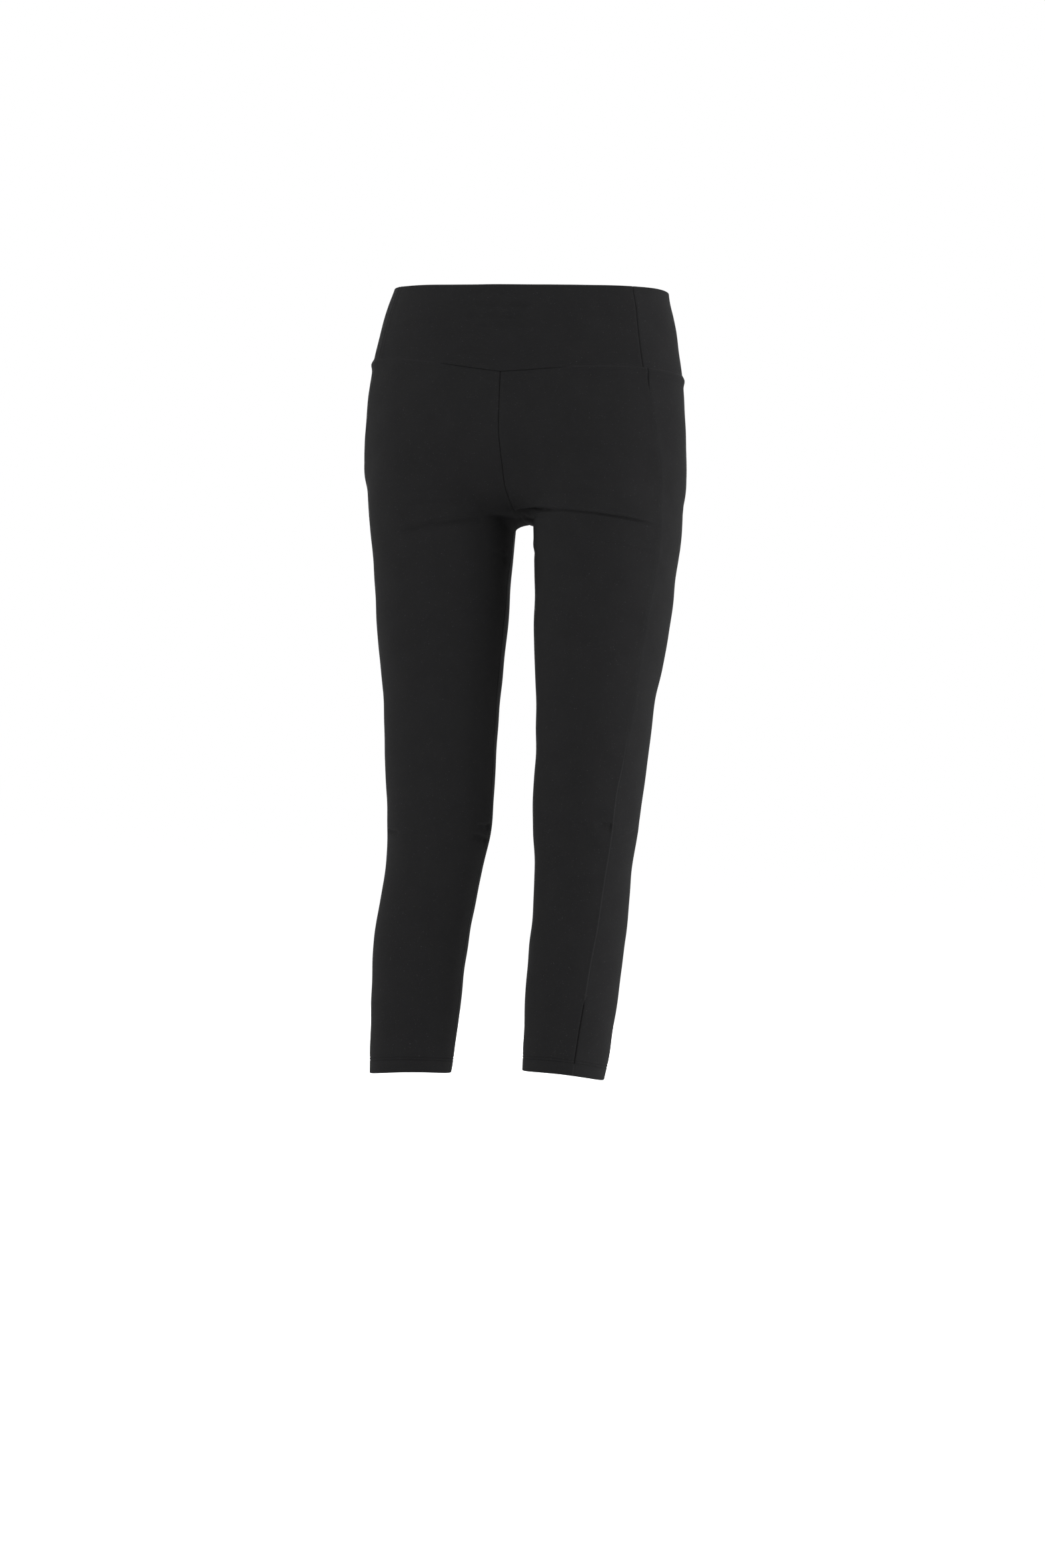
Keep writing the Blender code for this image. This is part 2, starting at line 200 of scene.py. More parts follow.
# Creases on the legs, from one place to another: degrees in front of straight out, and heights.
# Bow lifts the middle, depth presses in, and ridge stands proud of the crease on its upper side.
LEG_CREASES = table(
    "side from_angle from_height to_angle to_height bow width depth ridge",
    (LEFT, 174.0, -0.2502, 106.0, -0.2455, 0.0044, 0.0025, 0.0066, 0.0003),
    (LEFT, 118.0, -0.2436, 30.0, -0.2550, 0.0018, 0.0013, 0.0022, 0.0014),
    (LEFT, 164.0, -0.2550, 112.0, -0.2495, 0.0022, 0.0020, 0.0009, 0.0003),
    (LEFT, 130.0, -0.2300, 70.0, -0.2280, 0.0020, 0.0060, 0.0006, 0.0004),
    (LEFT, 38.0, -0.6060, -24.0, -0.5800, -0.0016, 0.0034, 0.0009, -0.0004),
    (LEFT, 44.0, -0.5900, 64.0, -0.5880, 0.0006, 0.0044, 0.0026, 0.0000),
    (LEFT, 44.0, -0.5780, 72.0, -0.5780, 0.0010, 0.0034, 0.0006, 0.0002),
    (LEFT, 70.0, -0.5920, 96.0, -0.5900, 0.0005, 0.0050, 0.0006, 0.0002),
    (LEFT, -30.0, -0.6000, -150.0, -0.5960, -0.0040, 0.0044, 0.0022, 0.0014),
    (LEFT, -50.0, -0.6180, -140.0, -0.6130, -0.0030, 0.0040, 0.0015, 0.0010),
    (LEFT, -60.0, -0.5790, -128.0, -0.5820, 0.0030, 0.0044, 0.0013, 0.0008),
    (LEFT, -34.0, -0.2600, -150.0, -0.2480, -0.0120, 0.0050, 0.0018, 0.0014),
    (LEFT, -80.0, -0.2830, -158.0, -0.2640, -0.0040, 0.0046, 0.0010, 0.0007),
    (LEFT, 176.0, -0.2980, 150.0, -0.2840, 0.0010, 0.0040, 0.0009, 0.0005),
    (LEFT, 150.0, -0.8340, 100.0, -0.8390, -0.0010, 0.0036, 0.0005, 0.0003),
    (LEFT, -60.0, -0.8290, -130.0, -0.8330, -0.0020, 0.0040, 0.0007, 0.0005),
    (RIGHT, 166.0, -0.2520, 122.0, -0.2570, 0.0020, 0.0040, 0.0010, 0.0003),
    (RIGHT, 142.0, -0.2550, 76.0, -0.2790, 0.0030, 0.0036, 0.0024, 0.0010),
    (RIGHT, 128.0, -0.2400, 78.0, -0.2500, 0.0010, 0.0050, 0.0010, 0.0007),
    (RIGHT, 130.0, -0.2280, 90.0, -0.2330, 0.0010, 0.0060, 0.0005, 0.0003),
    (RIGHT, 30.0, -0.6120, 62.0, -0.6125, 0.0005, 0.0026, 0.0024, 0.0004),
    (RIGHT, 178.0, -0.6160, 148.0, -0.6090, 0.0010, 0.0034, 0.0028, 0.0005),
    (RIGHT, 178.0, -0.5990, 152.0, -0.5990, 0.0000, 0.0040, 0.0016, 0.0003),
    (RIGHT, 10.0, -0.6110, -80.0, -0.6030, -0.0030, 0.0044, 0.0020, 0.0013),
    (RIGHT, -40.0, -0.5900, -150.0, -0.5980, -0.0030, 0.0042, 0.0021, 0.0013),
    (RIGHT, -56.0, -0.6240, -130.0, -0.6190, -0.0020, 0.0042, 0.0012, 0.0008),
    (RIGHT, -30.0, -0.2650, -148.0, -0.2470, -0.0110, 0.0050, 0.0017, 0.0013),
    (RIGHT, -70.0, -0.2900, -156.0, -0.2700, -0.0040, 0.0046, 0.0011, 0.0007),
    (RIGHT, 176.0, -0.3000, 148.0, -0.2900, 0.0010, 0.0040, 0.0008, 0.0005),
    (RIGHT, 150.0, -0.8420, 96.0, -0.8460, 0.0010, 0.0040, 0.0006, 0.0004),
    (RIGHT, -50.0, -0.8380, -128.0, -0.8440, -0.0020, 0.0040, 0.0007, 0.0004),
)

# Wrinkles across the waistbands and the seat, from one place across to another, and heights
BODY_CREASES = table(
    "face from_across from_height to_across to_height bow width depth ridge",
    (FRONT, -0.046, -0.0090, 0.030, -0.0085, 0.0006, 0.0020, 0.0009, 0.0007),
    (FRONT, -0.036, -0.0225, 0.042, -0.0215, -0.0006, 0.0021, 0.0009, 0.0007),
    (FRONT, -0.048, -0.0350, 0.026, -0.0360, 0.0008, 0.0021, 0.0009, 0.0007),
    (FRONT, -0.030, -0.0455, 0.038, -0.0450, 0.0006, 0.0022, 0.0008, 0.0006),
    (FRONT, -0.104, -0.0290, -0.050, -0.0270, 0.0008, 0.0024, 0.00030, 0.0002),
    (FRONT, -0.074, -0.0560, -0.006, -0.0590, 0.0008, 0.0026, 0.00030, 0.0002),
    (FRONT, 0.010, -0.0660, 0.094, -0.0630, -0.0008, 0.0028, 0.00030, 0.0002),
    (FRONT, -0.060, -0.0760, 0.020, -0.0790, 0.0006, 0.0028, 0.00025, 0.0002),
    (FRONT, 0.086, -0.0300, 0.134, -0.0330, 0.0006, 0.0026, 0.00030, 0.0002),
    (FRONT, -0.138, -0.0480, -0.096, -0.0460, 0.0005, 0.0026, 0.00030, 0.0002),
    (BACK, -0.080, -0.0200, 0.030, -0.0170, 0.0012, 0.0026, 0.00040, 0.0003),
    (BACK, -0.020, -0.0320, 0.090, -0.0290, -0.0010, 0.0026, 0.00035, 0.0002),
    (BACK, -0.110, -0.0440, 0.000, -0.0480, 0.0012, 0.0028, 0.00040, 0.0003),
    (BACK, -0.010, -0.0580, 0.104, -0.0560, 0.0010, 0.0028, 0.00040, 0.0003),
    (BACK, -0.070, -0.0710, 0.050, -0.0740, -0.0010, 0.0030, 0.00035, 0.0002),
    (BACK, 0.006, -0.2120, 0.040, -0.2040, 0.0010, 0.0040, 0.0008, 0.0005),
    (BACK, -0.042, -0.2030, -0.008, -0.2130, 0.0010, 0.0040, 0.0008, 0.0005),
    (BACK, 0.004, -0.1860, 0.030, -0.1780, 0.0010, 0.0040, 0.0005, 0.0003),
    (BACK, -0.034, -0.1760, -0.006, -0.1880, 0.0010, 0.0040, 0.0005, 0.0003),
)

# Slow waves of the stretched cloth: wavelengths across, deep and in height, how deep, and where
WAVES = table(
    "across deep height depth shift",
    (0.190, 0.310, 0.164, 0.00045, 0.4),
    (0.117, -0.260, 0.210, 0.00035, 2.1),
    (0.071, 0.120, 0.094, 0.00022, 4.0),
    (-0.083, 0.150, 0.061, 0.00018, 1.2),
    (-0.046, -0.090, 0.043, 0.00009, 3.1),
    (0.034, 0.060, 0.051, 0.00008, 5.2),
)

# Where one leg stands out a little from the mirrored form: direction, height, reach and how far
BULGES = table(
    "side angle height reach_across reach_up out",
    (LEFT, 168.0, -0.305, 0.034, 0.060, 0.0030),
    (LEFT, 176.0, -0.420, 0.030, 0.060, 0.0012),
    (RIGHT, 176.0, -0.605, 0.030, 0.042, 0.0042),
    (RIGHT, -20.0, -0.300, 0.040, 0.070, 0.0010),
    (RIGHT, 138.0, -0.238, 0.022, 0.020, 0.0040),
)

# How each hem hangs: tilt towards the wearer's left, dip at both sides, and lift all round
HEM_LIE = {LEFT: (-0.0026, 0.0032, 0.0030), RIGHT: (0.0031, 0.0032, 0.0000)}
HEM_LIE_REACH = 0.110
HEM_LIE_TURN = 18.0
HEM_LIE_CENTRE = 0.010

# The grids of the cloth: fixed steps near its edges, even ones between, closer where it creases
FINEST = 0.00035
SPREAD = 1.45
EDGE_REACH = 0.012
ROW_STEP = 0.0026
COLUMN_STEP = 0.0030
CROTCH_STEPS = np.array([0.0, 0.0005, 0.0014, 0.0028])
RISE_ROWS = {FRONT: 108, BACK: 128}
LEG_ROWS = 250
TURN_ROWS = 5
FOLD_STEPS = 6
FOLD_BEND = np.linspace(0, math.pi, FOLD_STEPS + 1)[1:]
PANEL_COLUMNS = {FRONT: 44, BACK: 76}
BAND_ROWS = 30
BAND_LINING_ROWS = 14
BAND_COLUMNS = {FRONT: 52, BACK: 84}
CREASED = ((-0.252, 0.020), (-0.602, 0.022))
CREASED_CLOSER = 3.2
HEM_ROWS = 0.0001 * np.array(
    [0, 4, 10, 20, 36, 58, 84, 108, 120, 126, 130, 133]
    + [136, 140, 146, 151, 156, 160, 163, 166, 171, 180, 195]
)
SHARP_EDGE = 60.0

# The relief of the seams, the stitch rows and the creases
MILLIMETRE = 0.001
GROOVE_WIDTH = 0.0006
BEAD_WIDTH = {FRONT: 0.0022, BACK: 0.0007}
CENTRE_GROOVE = 0.0011
INSEAM_GROOVE = 0.0004
INSEAM_FROM = 0.030
CENTRE_RIDGE = 0.0001
RIDGE_AT = 0.0032
RIDGE_WIDTH = 0.0020
RIDGE_IN_FRONT = 0.35
WAIST_GROOVE = 0.0010
WAIST_GROOVE_REACH = 0.050
WAIST_GROOVE_FADE = 0.040
WAIST_BULK = 0.0005
WAIST_BULK_AT_SIDES = 0.0018
WAIST_BULK_TURN = 4
WAIST_BULK_AT = 0.0045
WAIST_BULK_WIDTH = 0.0046
SEAM_CALM = 0.010
SEAM_SETTLES = 0.080
BAND_LIP = 0.00045
BAND_LIP_AT = 0.0009
BAND_LIP_WIDTH = 0.0007
BAND_SEAM_GROOVE = {LEFT: 0.0009, RIGHT: 0.0002}
BAND_SEAM_RIDGE = {LEFT: 0.0002, RIGHT: 0.0005}
STITCH_ROWS = (0.0145, 0.0175)
STITCH_GROOVE = 0.00055
STITCH_GROOVE_WIDTH = 0.0005
STITCH_TUNNEL = 0.00015
CREASE_RUN_IN = 0.16
CREASE_RUN_OUT = 0.24
CREASE_WAVER = 0.18
CREASE_WAVES = 1.6
CREASE_STEEP = 0.50
CREASE_GENTLE = 1.50
CREASE_RIDGE_AT = 1.50
CREASE_RIDGE_WIDTH = 1.1
CREASE_CLEARANCE = 0.008
BULGE_CLEARANCE = 0.016
# A highlight painted along proud seams: how wide it is, and how proud a seam stands, in
# millimetres, where it is painted in full
PAINTED_SHINE_WIDTH = 0.0006
PAINTED_SHINE_FROM = 0.40

# The sewing: threads lift and sink by shares of their radius, and overlock starts on one grid line
STITCH_BENDS = np.array([0.0, 0.1, 0.2, 0.5, 0.8, 0.9])
STITCH_TURN = 0.2
STITCH_LIFT = 2.0
STITCH_SINK = 1.9
CROSSING_SINK = 0.6
OVERLOCK_LIFT = 0.5
OVERLOCK_LINE = 2
NEARLY_UPRIGHT = 0.8
ALLOWANCE_COLUMNS = 7
ALLOWANCE_THICKNESS = 0.0015
ALLOWANCE_LIFT = 0.00008
ALLOWANCE_WIDTH = 0.0065
ALLOWANCE_THINS = 0.75
ALLOWANCE_THINS_LATE = 6
ALLOWANCE_ABOVE_HEM = 0.001
INSEAM_ROWS_DOWN = 2

# The flat cuts of what shows, as cut before stretching: width, length and, off a rectangle, area
PANEL_CUT = {
    "front_left": (0.208, 0.800, 0.121),
    "front_right": (0.218, 0.815, 0.138),
    "back_left": (0.277, 0.830, 0.191),
    "back_right": (0.262, 0.830, 0.178),
}

# The looks of the cloth and the thread
WALE = 0.00058
COURSE = 0.00044
COURSE_SLANT = 0.6
COURSE_RELIEF = 0.22
MOTTLE_SCALE, MOTTLE_DETAIL = 38.0, 5.0
LINT_SCALE, LINT_DETAIL = 900.0, 1.0
LINT_FROM, LINT_TO = 0.70, 0.80
TWIST_SCALE, TWIST_DETAIL = 4200.0, 1.0
# How far the highlight painted along proud seams lightens the jersey
PAINTED_SHINE = 0.17
BLACK = (0.0, 0.0, 0.0, 1.0)
WHITE = (1.0, 1.0, 1.0, 1.0)
SHEEN_ROUGHNESS = 0.8
JERSEY = {"roughness": 0.82, "specular": 0.012, "relief_depth": 0.00006}
THREAD = {"roughness": 0.7, "specular": 0.08, "relief_depth": 0.00003, "sheen": 0.0}

# The studio and the camera
FLOOR = -0.98
FLOOR_REACH = 60.0
FLOOR_CORNERS = ((-1, -1), (1, -1), (1, 1), (-1, 1))
# Each light: its name, place, size and power
LIGHTS = (
    ("top_softbox", (0.0, -0.9, 2.2), (2.4, 1.2), 48.0),
    ("left_softbox", (-2.45, -1.14, -0.3), (1.0, 2.2), 82.0),
    ("right_softbox", (2.34, -1.35, -0.3), (1.0, 2.2), 54.0),
    ("side_softbox", (2.69, -0.24, -0.3), (1.0, 2.2), 84.0),
    ("back_softbox", (-0.95, 2.9, 0.3), (2.2, 1.6), 60.0),
)
LIGHTS_FACE = (0.0, 0.0, -0.45)
# The camera's sensor in millimetres, and how high the picture is where the garment hangs
SENSOR = 36.0
PICTURE_HEIGHT = 1.76475
CAMERA_AZIMUTH = 18.0
CAMERA_ROLL = 3.7
CAMERA_DISTANCE = 5.0
CAMERA_HEIGHT = -0.55
CAMERA_ASIDE = 0.0183


def curve(sections, name, at):
    """A smooth line through one column of a table, with no overshoot between its rows."""
    heights, values = sections["height"], sections[name]
    gaps = np.diff(heights)
    secants = np.diff(values) / gaps
    slopes = np.concatenate([secants[:1], np.zeros(len(values) - 2), secants[-1:]])
    before, after = secants[:-1], secants[1:]
    rounded = (before * gaps[1:] + after * gaps[:-1]) / (gaps[1:] + gaps[:-1])
    limit = 3 * np.minimum(abs(before), abs(after))
    slopes[1:-1] = np.where(before * after > 0, np.clip(rounded, -limit, limit), 0)
    at = np.clip(at, heights[0], heights[-1])
    row = np.clip(np.searchsorted(heights, at) - 1, 0, len(gaps) - 1)
    t = (at - heights[row]) / gaps[row]
    ends = values[row] * (1 + 2 * t) * (1 - t) ** 2 + values[row + 1] * t * t * (3 - 2 * t)
    bends = slopes[row] * t * (1 - t) ** 2 + slopes[row + 1] * t * t * (t - 1)
    return ends + bends * gaps[row]


def smooth(t):
    """An S-shaped step from 0 to 1."""
    t = np.clip(t, 0, 1)
    return t * t * (3 - 2 * t)


def soft_least(first, second, width):
    """The lesser of two distances, rounded where they are within width of each other."""
    closeness = np.maximum(width - abs(first - second), 0) / width
    return np.minimum(first, second) - closeness**2 * width / 4


class Level:
    """The sizes of the form at each height, worked out once for a whole search."""

    def __init__(self, z):
        self.z = z
        for name in ("half_width", "widest", "front", "back"):
            setattr(self, name, curve(BODY, name, z))
        self.leg_out, self.leg_back = curve(LEG, "out", z), curve(LEG, "back", z)
        self.leg_width, self.leg_depth = curve(LEG, "half_width", z), curve(LEG, "half_depth", z)


def outside_oval(x, y, half_width, half_depth, square, scale):
    """About how far a point lies outside a rounded oval, less than 0 inside it."""
    size = (abs(x / half_width) ** square + abs(y / half_depth) ** square) ** (2 / square)
    return (size - 1) / 2 * scale


def outside_garment(x, y, level):
    """How far a point lies outside the filled-out garment, before it sways."""
    ahead, behind = level.widest - level.front, level.back - level.widest
    half_depth = np.where(y < level.widest, ahead, behind)
    scale = np.minimum(level.half_width, (level.back - level.front) / 2)
    body = outside_oval(x, y - level.widest, level.half_width, half_depth, SQUARE_BODY, scale)
    body = body + BELOW_CROTCH * np.maximum(BODY["height"][0] - level.z, 0)
    sizes = level.leg_width, level.leg_depth, SQUARE_LEG, level.leg_width
    left = outside_oval(x - level.leg_out, y - level.leg_back, *sizes)
    right = outside_oval(x + level.leg_out, y - level.leg_back, *sizes)
    middle = np.clip(1 - (x / BLEND_REACH) ** 2, 0, 1)
    width = BLEND_HIP + (BLEND_CROTCH - BLEND_HIP) * middle
    return soft_least(soft_least(left, right, BLEND_LEGS), body, width)


def search(inside, low, high):
    """The value between low and high where inside stops being true."""
    for _ in range(SEARCH_STEPS):
        middle = (low + high) / 2
        within = inside(middle)
        low, high = np.where(within, middle, low), np.where(within, high, middle)
    return low


def crotch_height():
    """The lowest point of the seat curve."""
    low, high = np.array(CROTCH_LOWEST), np.array(CROTCH_HIGHEST)
    return float(search(lambda z: outside_garment(0.0, CROTCH_BACK, Level(z)) > 0, low, high))


def centre_line(z, face):
    """How far back the centre front or centre back seam lies at a height."""
    level, start = Level(z), np.zeros_like(z)
    return CROTCH_BACK + face * search(
        lambda d: outside_garment(0.0, CROTCH_BACK + face * d, level) < 0, start, start + FARTHEST
    )


def skin(angle, z):
    """The point of the skin in a direction from the leg's centre, on the wearer's left."""
    level = Level(z)
    across, along = np.cos(angle), np.sin(angle)
    to_middle = level.leg_out / np.maximum(-across, level.leg_out / FARTHEST)
    reach = search(
        lambda r: outside_garment(
            level.leg_out + r * across, level.leg_back + r * along, level
        ) < 0,
        np.zeros_like(to_middle),
        to_middle,
    )
    x, y = level.leg_out + reach * across, level.leg_back + reach * along
    return np.stack([x, y, z + 0 * angle], -1)


def outward(points):
    """The direction out of the garment at each point of its skin."""
    x, y, z = np.moveaxis(points, -1, 0)
    level, h = Level(z), SLOPE_STEP
    slopes = [
        outside_garment(x + h, y, level) - outside_garment(x - h, y, level),
        outside_garment(x, y + h, level) - outside_garment(x, y - h, level),
        outside_garment(x, y, Level(z + h)) - outside_garment(x, y, Level(z - h)),
    ]
    normal = np.stack(slopes, -1)
    return normal / np.linalg.norm(normal, axis=-1, keepdims=True)


def distances(points):
    """How far along its line each point lies."""
    steps = np.linalg.norm(np.diff(points, axis=-2), axis=-1)
    return np.concatenate([0 * steps[..., :1], np.cumsum(steps, axis=-1)], axis=-1)


def length_of(line):
    """How long a line of points is."""
    return float(distances(line)[-1])


def picked(places, along, line):
    """The points at some distances along a line."""
    return np.stack([np.interp(places, along, column) for column in line.T], -1)


def seat_curve(face, fractions):
    """Depths and heights down the centre seam, at fractions of its length from the waist seam."""
    top = WAIST_SEAM_CENTRE_FRONT if face == FRONT else WAIST_SEAM_CENTRE_BACK
    crotch = crotch_height()
    fine = crotch + (top - crotch) * np.linspace(1, 0, SEAT_CURVE_POINTS) ** 2
    line = np.stack([centre_line(fine, face), fine], -1)
    line[-1, 0] = CROTCH_BACK
    along = distances(line)
    return picked(along[-1] * fractions, along, line)


def seam_angle(z, side, seam=SIDE_SEAM):
    """The side seam's direction from the leg's centre."""
    return -np.radians(curve(seam, "left" if side == LEFT else "right", z))


def centre_angle(z, face):
    """The direction of the centre seam, or of the inside leg where the legs are apart."""
    crotch, back = crotch_height(), curve(LEG, "back", z)
    inseam = (CROTCH_BACK - back) * smooth(1 - (crotch - z) / INSEAM_SETTLES)
    across = np.where(z > crotch, centre_line(z, face) - back, inseam)
    return face * np.mod(face * np.arctan2(across, -curve(LEG, "out", z)), 2 * math.pi)


def band_share(share, side, face):
    """The waistband's share over a leg panel's share, as their side seams stand a little apart."""
    z = np.array(WAIST_SEAM_SIDE)
    start = centre_angle(z, face)
    return share * (seam_angle(z, side) - start) / (seam_angle(z, side, BAND_SEAM) - start)


def waist_seam(share, face):
    """The waist seam's height, from the centre line (share 0) to the band's side seam (share 1)."""
    share = np.clip(share, 0, 1)
    if face == FRONT:
        straight = WAIST_SEAM_CENTRE_FRONT + (WAIST_SEAM_SIDE - WAIST_SEAM_CENTRE_FRONT) * share
        return straight + 4 * WAIST_SEAM_BOW * share * (1 - share)
    return WAIST_SEAM_CENTRE_BACK + (WAIST_SEAM_SIDE - WAIST_SEAM_CENTRE_BACK) * smooth(share)


def growing(limit, step):
    """Distances from an edge, closest beside it and up to a step apart, short of a limit."""
    distances, gap = [0.0], FINEST
    while distances[-1] + gap < limit and gap < step:
        distances.append(distances[-1] + gap)
        gap *= SPREAD
    return np.array(distances)


def lane(length, first, last, count):
    """Places along a length: fixed ones near both its ends, and count even ones between."""
    length = np.asarray(length, float)[..., None]
    shares = np.linspace(0, 1, count + 2)[1:-1]
    middle = first[-1] + (length - first[-1] - last[-1]) * shares
    start = np.broadcast_to(first, length.shape[:-1] + first.shape)
    return np.concatenate([start, middle, length - last[::-1]], axis=-1)


def heights_down(top, bottom, first, last, count):
    """Heights from top down to bottom, like lane's places, but closer where the cloth creases."""
    fine = np.linspace(top - first[-1], bottom + last[-1], SEAT_CURVE_POINTS)
    weight = 1 + CREASED_CLOSER * sum(hump(fine, height, reach) for height, reach in CREASED)
    passed = np.concatenate([[0], np.cumsum((weight[1:] + weight[:-1]) / 2)])
    wanted = passed[-1] * np.linspace(0, 1, count + 2)[1:-1]
    return np.concatenate([top - first, np.interp(wanted, passed, fine), bottom + last[::-1]])


def spread_shares(place, first, last, count):
    """Shares (0 to 1) across each row whose points lie at lane's places along the cloth.

    place(shares) gives the skin's points. Also the distances from the row's start and to its end.
    """
    fine = np.linspace(0, 1, ROW_POINTS)
    along = distances(place(fine))
    wanted = lane(along[:, -1], first, last, count)
    shares = np.stack([np.interp(w, a, fine) for w, a in zip(wanted, along)])
    return shares, wanted, along[:, -1:] - wanted


def hump(distance, centre, width):
    """A rounded rise of height 1 at a distance from an edge."""
    return np.exp(-(((distance - centre) / width) ** 2))


def rows_where(sections, name, value):
    """The rows of a table in which one column holds a value, each as a dictionary."""
    for number in np.flatnonzero(sections[name] == value):
        yield {label: column[number] for label, column in sections.items()}


def around_leg(points):
    """Where points lie from the centre of their leg: out, back, and their height."""
    z = points[..., 2]
    return points[..., 0] - curve(LEG, "out", z), points[..., 1] - curve(LEG, "back", z), z


def crease(row, start, end, along, up):
    """How far one crease presses in at places on the cloth, less than 0 on its ridge."""
    length = math.hypot(end[0] - start[0], end[1] - start[1])
    lean = (end[0] - start[0]) / length, (end[1] - start[1]) / length
    x, y = along - start[0], up - start[1]
    t = (x * lean[0] + y * lean[1]) / length
    across = (y * lean[0] - x * lean[1]) * math.copysign(1, lean[0])
    across = across - row["bow"] * 4 * t * (1 - t)
    ends = smooth(t / CREASE_RUN_IN) * smooth((1 - t) / CREASE_RUN_OUT)
    waver = 1 + CREASE_WAVER * np.sin(2 * math.pi * (t * CREASE_WAVES + row["width"] / MILLIMETRE))
    spread = np.where(across > 0, CREASE_STEEP, CREASE_GENTLE) * row["width"]
    trough = hump(across, 0, spread) * row["depth"]
    ridge = hump(across, CREASE_RIDGE_AT * row["width"], CREASE_RIDGE_WIDTH * row["width"])
    return (trough - ridge * row["ridge"]) * ends * waver


def creases_on_leg(points, side):
    """How far the leg creases of one side press its skin in."""
    x, y, z = around_leg(points)
    degrees = np.degrees(np.arctan2(-y, x))
    press = np.zeros(z.shape)
    for row in rows_where(LEG_CREASES, "side", side):
        middle = (row["from_height"] + row["to_height"]) / 2
        turn = math.radians(1) * curve(LEG, "half_width", middle)
        start = row["from_angle"] * turn, row["from_height"]
        end = row["to_angle"] * turn, row["to_height"]
        press += crease(row, start, end, degrees * turn, z)
    return press * np.clip(points[..., 0] / CREASE_CLEARANCE, 0, 1)


def creases_on_body(points, side, face):
    """How far the small wrinkles of the waistband and seat press in, on the front or the back."""
    press = np.zeros(points.shape[:-1])
    for row in rows_where(BODY_CREASES, "face", face):
        start, end = (row["from_across"], row["from_height"]), (row["to_across"], row["to_height"])
        press += crease(row, start, end, points[..., 0] * side, points[..., 2])
    return press


def unevenness(points, side):
    """The slow, slight waviness of stretched cloth."""
    x, y, z = points[..., 0] * side, points[..., 1], points[..., 2]
    press = np.zeros(z.shape)
    for across, deep, height, depth, shift in zip(*WAVES.values()):
        phase = 2 * math.pi * (x / across + y / deep + z / height)
        press += depth * np.sin(phase + shift)
    return press


def bulges(points, side):
    """How far one leg stands out from the mirrored form."""
    x, y, z = around_leg(points)
    radius, proud = np.hypot(x, y), np.zeros(z.shape)
    for row in rows_where(BULGES, "side", side):
        turn = np.arctan2(-y, x) - math.radians(row["angle"])
        around = (np.mod(turn + math.pi, 2 * math.pi) - math.pi) * radius
        near = hump(around, 0, row["reach_across"]) * hump(z, row["height"], row["reach_up"])
        proud += row["out"] * near
    return proud * smooth(points[..., 0] / BULGE_CLEARANCE)


def hem_lie(points, side):
    """How far the cloth hangs above its level near a hem that isn't level."""
    tilt, dip, lift = HEM_LIE[side]
    x, y, z = around_leg(points)
    turn = math.radians(HEM_LIE_TURN)
    sideways = side * x * math.cos(turn) + y * math.sin(turn)
    sideways = sideways / np.maximum(np.hypot(x, y), HEM_LIE_CENTRE)
    near = smooth((HEM[side] + HEM_LIE_REACH - z) / HEM_LIE_REACH)
    return near * (lift + tilt * sideways - dip * sideways**2)


def towards_sides(points):
    """How near a place on the waist seam is to the side seams: 0 in the middle, 1 beside them."""
    return smooth((abs(points[..., 0]) - WAIST_GROOVE_REACH) / WAIST_GROOVE_FADE)


def band_seam_fuzz(points, from_seam):
    """How strongly a highlight is painted along the waist seam: by the side seams, and not in the
    middle.
    """
    return towards_sides(points) * hump(from_seam, 0, PAINTED_SHINE_WIDTH)


def waist_groove(points, from_seam):
    """How deep the waist seam lies in the cloth: sunk in the middle, level towards the sides."""
    return WAIST_GROOVE * (1 - towards_sides(points)) * hump(from_seam, 0, GROOVE_WIDTH)


class Sheet:
    """A sheet of cloth as two grids of points, its two faces, and where each point lies on it."""

    def __init__(self, points, side, press, u, v):
        self.points, self.side, self.press, self.u, self.v = points, side, press, u, v
        self.normal, self.lie = outward(points), hem_lie(points, side)

    def face(self, inset):
        """The points of the sheet pressed in by its relief and by inset, put on their own side."""
        moved = self.points - self.normal * (self.press + inset)[..., None]
        moved[..., 0] = self.side * moved[..., 0] + curve(SWAY, "sideways", self.points[..., 2])
        moved[..., 2] += self.lie
        return moved

    def fold(self, flat_rows, turned_rows, t, gap, rise):
        """Lays both faces of cloth t thick, folded over after its flat rows with a gap inside.

        The fold's inner face lies above the outer one where rise is 1, and below it at -1.
        """
        radius = t + gap / 2
        flat, turned = np.zeros(flat_rows), np.full(turned_rows, 2 * radius)
        outside = np.concatenate([flat, radius * (1 - np.cos(FOLD_BEND)), turned])
        inside = np.concatenate([flat + t, radius - gap / 2 * np.cos(FOLD_BEND), turned - t])
        raised = np.concatenate([flat, rise * (radius - gap / 2) * np.sin(FOLD_BEND), 0 * turned])
        self.outer, self.inner = self.face(outside[:, None]), self.face(inside[:, None])
        self.inner[..., 2] += raised[:, None]


def mesh_object(name, points, faces):
    """A smoothly shaded mesh object in the scene."""
    mesh = bpy.data.meshes.new(name)
    mesh.from_pydata(points, [], faces)
    mesh.shade_smooth()
    made = bpy.data.objects.new(name, mesh)
    bpy.context.scene.collection.objects.link(made)
    return made


